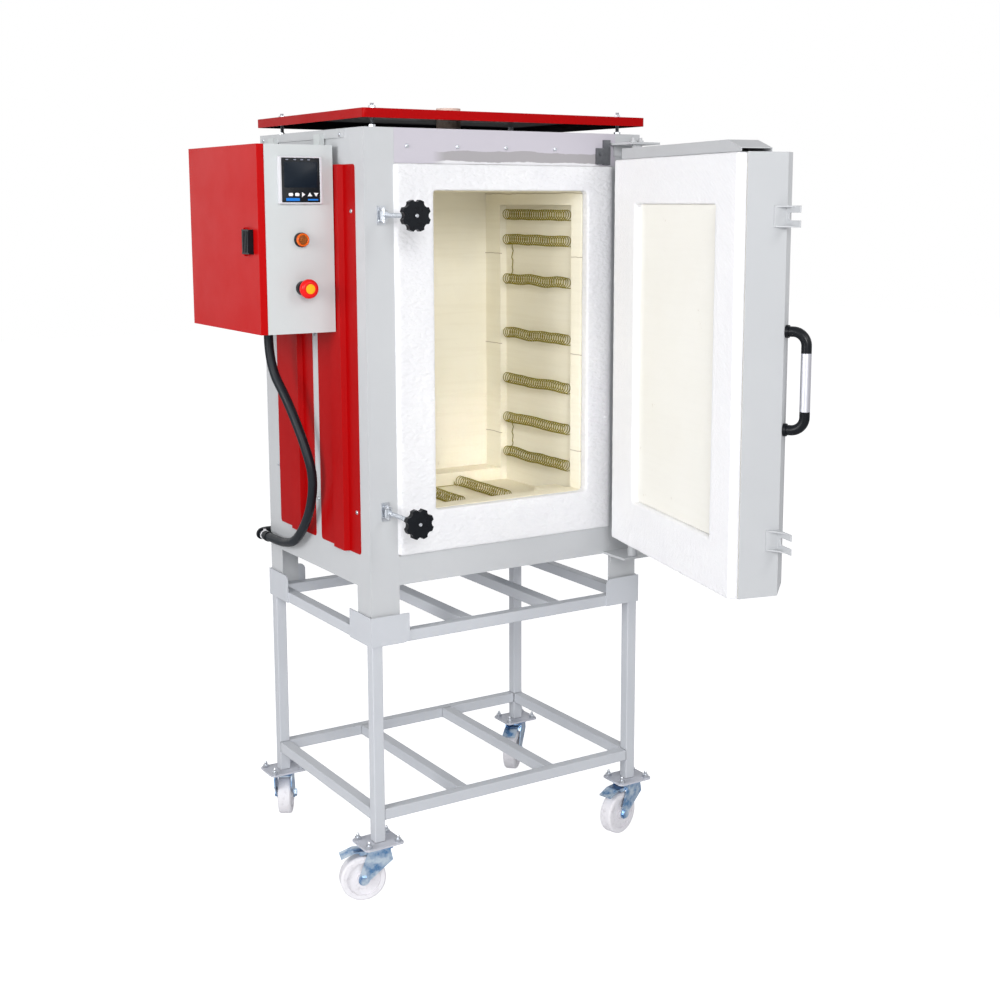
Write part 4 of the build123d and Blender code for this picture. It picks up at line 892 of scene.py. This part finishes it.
key_x, key_z, key_step = -0.3803, 1.5095, 0.014
arrow = [(-0.0050, -0.0034), (0.0050, -0.0034), (0.0, 0.0038)]
shapes = [
    rounded(0.0094, 0.0064, 0.0024),
    rounded(0.0094, 0.0064, 0.0024),
    [(-0.0032, -0.0046), (0.0036, 0.0), (-0.0032, 0.0046)],
    arrow,
    [(x, -z) for x, z in reversed(arrow)],
]
for n, points in enumerate(shapes):
    mark = set_at(symbol(points), key_x + key_step * n, key_z)
    name = "controller_key_%d" % (n + 1)
    piece("key_symbol_%d" % (n + 1), settled(mark), key_white, "key_%d" % (n + 1), "key_white", name)
lit = mottled("indicator windows", colour(150, 154, 168), colour(128, 132, 148), 0.004, (0.0008, 0.00004), 0.3)
inlay = (unit_front + 0.0020, unit_front + 0.0009)
lenses = []
for x in (-0.030, -0.0125, 0.003, 0.0185):
    lens_shape = [(rounded(0.0060, 0.0018, 0.0008), y) for y in inlay]
    lenses.append((lofted(lens_shape), Matrix.Translation((unit_x + x, 0, unit_z + 0.0410))))
piece("indicator_windows", settled(gathered(lenses)), lit, "kiln", "key_white")
blue = mottled("blue key strip", colour(20, 128, 226), colour(14, 112, 208), 0.006, (0.0008, 0.00004), 0.4)
strips = []
for width, height, x, z in ((0.0300, 0.0058, -0.3755, 1.4995), (0.0230, 0.0030, -0.3310, 1.4990)):
    strip = [(rounded(width, height, 0.0010), y) for y in inlay]
    strips.append((lofted(strip), Matrix.Translation((x, 0, z))))
piece("blue_strips", settled(gathered(strips)), blue, "kiln", "black_plastic")

# Pilot lamp: 30 mm black collar clamped in the front sheet, with an orange lens cap that is ribbed inside.
def upright(profile, x, front, z, count=48):
    # A turned shape whose axis points at the operator, given as (radius, depth behind the front) pairs.
    made = turned([(r, -d) for r, d in reversed(profile)], count)
    made.transform(facing((x, front, z), (0, -1, 0)))
    return made


lamp_x, lamp_front, lamp_z = -0.3573, 0.1541, 1.4177
collar = upright([
    (0.0122, 0.0060), (0.0132, 0.0060), (0.0146, 0.0066), (0.0150, 0.0076), (0.0150, 0.0148), (0.0105, 0.0152),
    (0.0105, 0.0440), (0.0, 0.0450),
], lamp_x, lamp_front, lamp_z)
piece("lamp_collar", settled(collar), black, "kiln", "lamp_amber", "pilot_lamp")
amber = mottled("amber lens", colour(226, 104, 8), colour(208, 84, 4), 0.005, (0.002, 0.0001), 0.22)
shader_of(amber).inputs["Subsurface Weight"].default_value = 0.3
shader_of(amber).inputs["Subsurface Radius"].default_value = (0.004, 0.002, 0.001)
rim = upright([
    (0.0096, 0.0022), (0.0098, 0.0008), (0.0106, 0.0), (0.0124, 0.0), (0.0134, 0.0010), (0.0136, 0.0064),
], lamp_x, lamp_front, lamp_z)
piece("lamp_ring", settled(rim), amber, "kiln", "lamp_amber", "pilot_lamp")
ember = finish("lens over the lamp", 0.3)
spot = place_of(ember)
cells = node(ember, "TexVoronoi", Scale=1 / 0.0021, feature="DISTANCE_TO_EDGE")
join(ember, spot, "Vector", cells, "Vector")
web = spread(ember, cells, "Distance", 0.04, 0.16)
coloured(ember, tinted(ember, web, "Result", colour(176, 92, 14), colour(92, 46, 8)))
raised(ember, [(web, "Result", 0.0003)])
lens_cap = upright([
    (0.0, 0.0010), (0.0050, 0.0013), (0.0097, 0.0022), (0.0097, 0.0060),
], lamp_x, lamp_front, lamp_z)
piece("lamp_lens", settled(lens_cap, 50), ember, "kiln", "lamp_amber", "pilot_lamp")

# Emergency stop: red mushroom cap with a yellow disc let into its front, on a black collar clamped in the sheet.
stop_x, stop_front, stop_z = -0.3554, 0.1291, 1.3185
stop_red = mottled(
    "stop red plastic", colour(232, 12, 10), colour(220, 8, 8), 0.01, (0.0012, 0.00004), 0.3, swing=(0.25, 0.36))
cap = upright([
    (0.0, 0.0008), (0.0104, 0.0008), (0.0108, 0.0001), (0.0118, 0.0), (0.0150, 0.0004), (0.0178, 0.0020),
    (0.0194, 0.0046), (0.0200, 0.0080), (0.0200, 0.0112), (0.0192, 0.0128), (0.0150, 0.0136), (0.0130, 0.0142),
    (0.0130, 0.0200), (0.0, 0.0200),
], stop_x, stop_front, stop_z, 64)
piece("mushroom_cap", settled(cap, 40), stop_red, "stop_cap", "stop_red", "stop_cap")
yellow = mottled(
    "yellow disc", colour(240, 186, 20), colour(226, 166, 12), 0.005, (0.001, 0.00006), 0.4, swing=(0.35, 0.5))
disc = upright([
    (0.0, 0.0004), (0.0092, 0.0004), (0.0100, 0.0006), (0.0102, 0.0010),
], stop_x, stop_front, stop_z, 64)
piece("stop_disc", settled(disc), yellow, "stop_cap", "stop_red")
dress(black, "stop_base")

# Studio: a pale floor and an even white surround, with soft lamps in front, above and at the left.
# A small lamp with a grid reaches into the open chamber.
floor_mesh = bpy.data.meshes.new("floor")
reach = 14.0
sheet = [(-reach, -reach, 0), (reach, -reach, 0), (reach, reach, 0), (-reach, reach, 0)]
floor_mesh.from_pydata(sheet, [], [(0, 1, 2, 3)])
floor = bpy.data.objects.new("floor", floor_mesh)
scene.collection.objects.link(floor)
pale = finish("pale floor", 0.9, gloss=0.1)
shader = shader_of(pale)
shader.inputs["Base Color"].default_value = (0.86, 0.86, 0.87, 1)
seen = node(pale, "LightPath")
glow = node(pale, "Emission", Strength=0.74)
none = node(pale, "Emission", Strength=0.0)
lift = node(pale, "MixShader")
both = node(pale, "AddShader")
join(pale, seen, "Is Camera Ray", lift, "Fac")
join(pale, none, 0, lift, 1)
join(pale, glow, 0, lift, 2)
join(pale, shader, 0, both, 0)
join(pale, lift, 0, both, 1)
join(pale, both, 0, pale.node_tree.nodes["Material Output"], "Surface")
floor_mesh.materials.append(pale)

world = bpy.data.worlds.new("surround")
scene.world = world
world.use_nodes = True
tree = world.node_tree
sky = tree.nodes["Background"]
path = tree.nodes.new("ShaderNodeLightPath")
white = tree.nodes.new("ShaderNodeBackground")
white.inputs["Color"].default_value = (1, 1, 1, 1)
white.inputs["Strength"].default_value = 1.0
sky.inputs["Color"].default_value = (0.97, 0.98, 1.0, 1)
sky.inputs["Strength"].default_value = 0.32
either = tree.nodes.new("ShaderNodeMath")
either.operation = "MAXIMUM"
pick = tree.nodes.new("ShaderNodeMixShader")
tree.links.new(path.outputs["Is Camera Ray"], either.inputs[0])
tree.links.new(path.outputs["Is Glossy Ray"], either.inputs[1])
tree.links.new(either.outputs[0], pick.inputs["Fac"])
tree.links.new(sky.outputs[0], pick.inputs[1])
tree.links.new(white.outputs[0], pick.inputs[2])
tree.links.new(pick.outputs[0], tree.nodes["World Output"].inputs["Surface"])


def lamp(name, at, aim, size, power, spread_angle=180):
    light = bpy.data.lights.new(name, "AREA")
    light.shape = "DISK"
    light.size = size
    light.energy = power
    light.spread = math.radians(spread_angle)
    made = bpy.data.objects.new(name, light)
    scene.collection.objects.link(made)
    made.location = at
    made.rotation_euler = (Vector(aim) - Vector(at)).to_track_quat("-Z", "Y").to_euler()


lamp("key", (0.9, -3.2, 2.9), (0.05, 0.2, 1.0), 1.0, 20)
lamp("front", (-3.05, -6.9, 3.3), (0.05, 0.3, 1.1), 2.8, 280)
lamp("left", (-3.8, -0.8, 2.0), (0.0, 0.2, 1.0), 2.0, 84)
lamp("chamber", (-1.5, -4.0, 2.9), (0.24, 0.35, 0.913), 0.2, 0.12, 5.5)
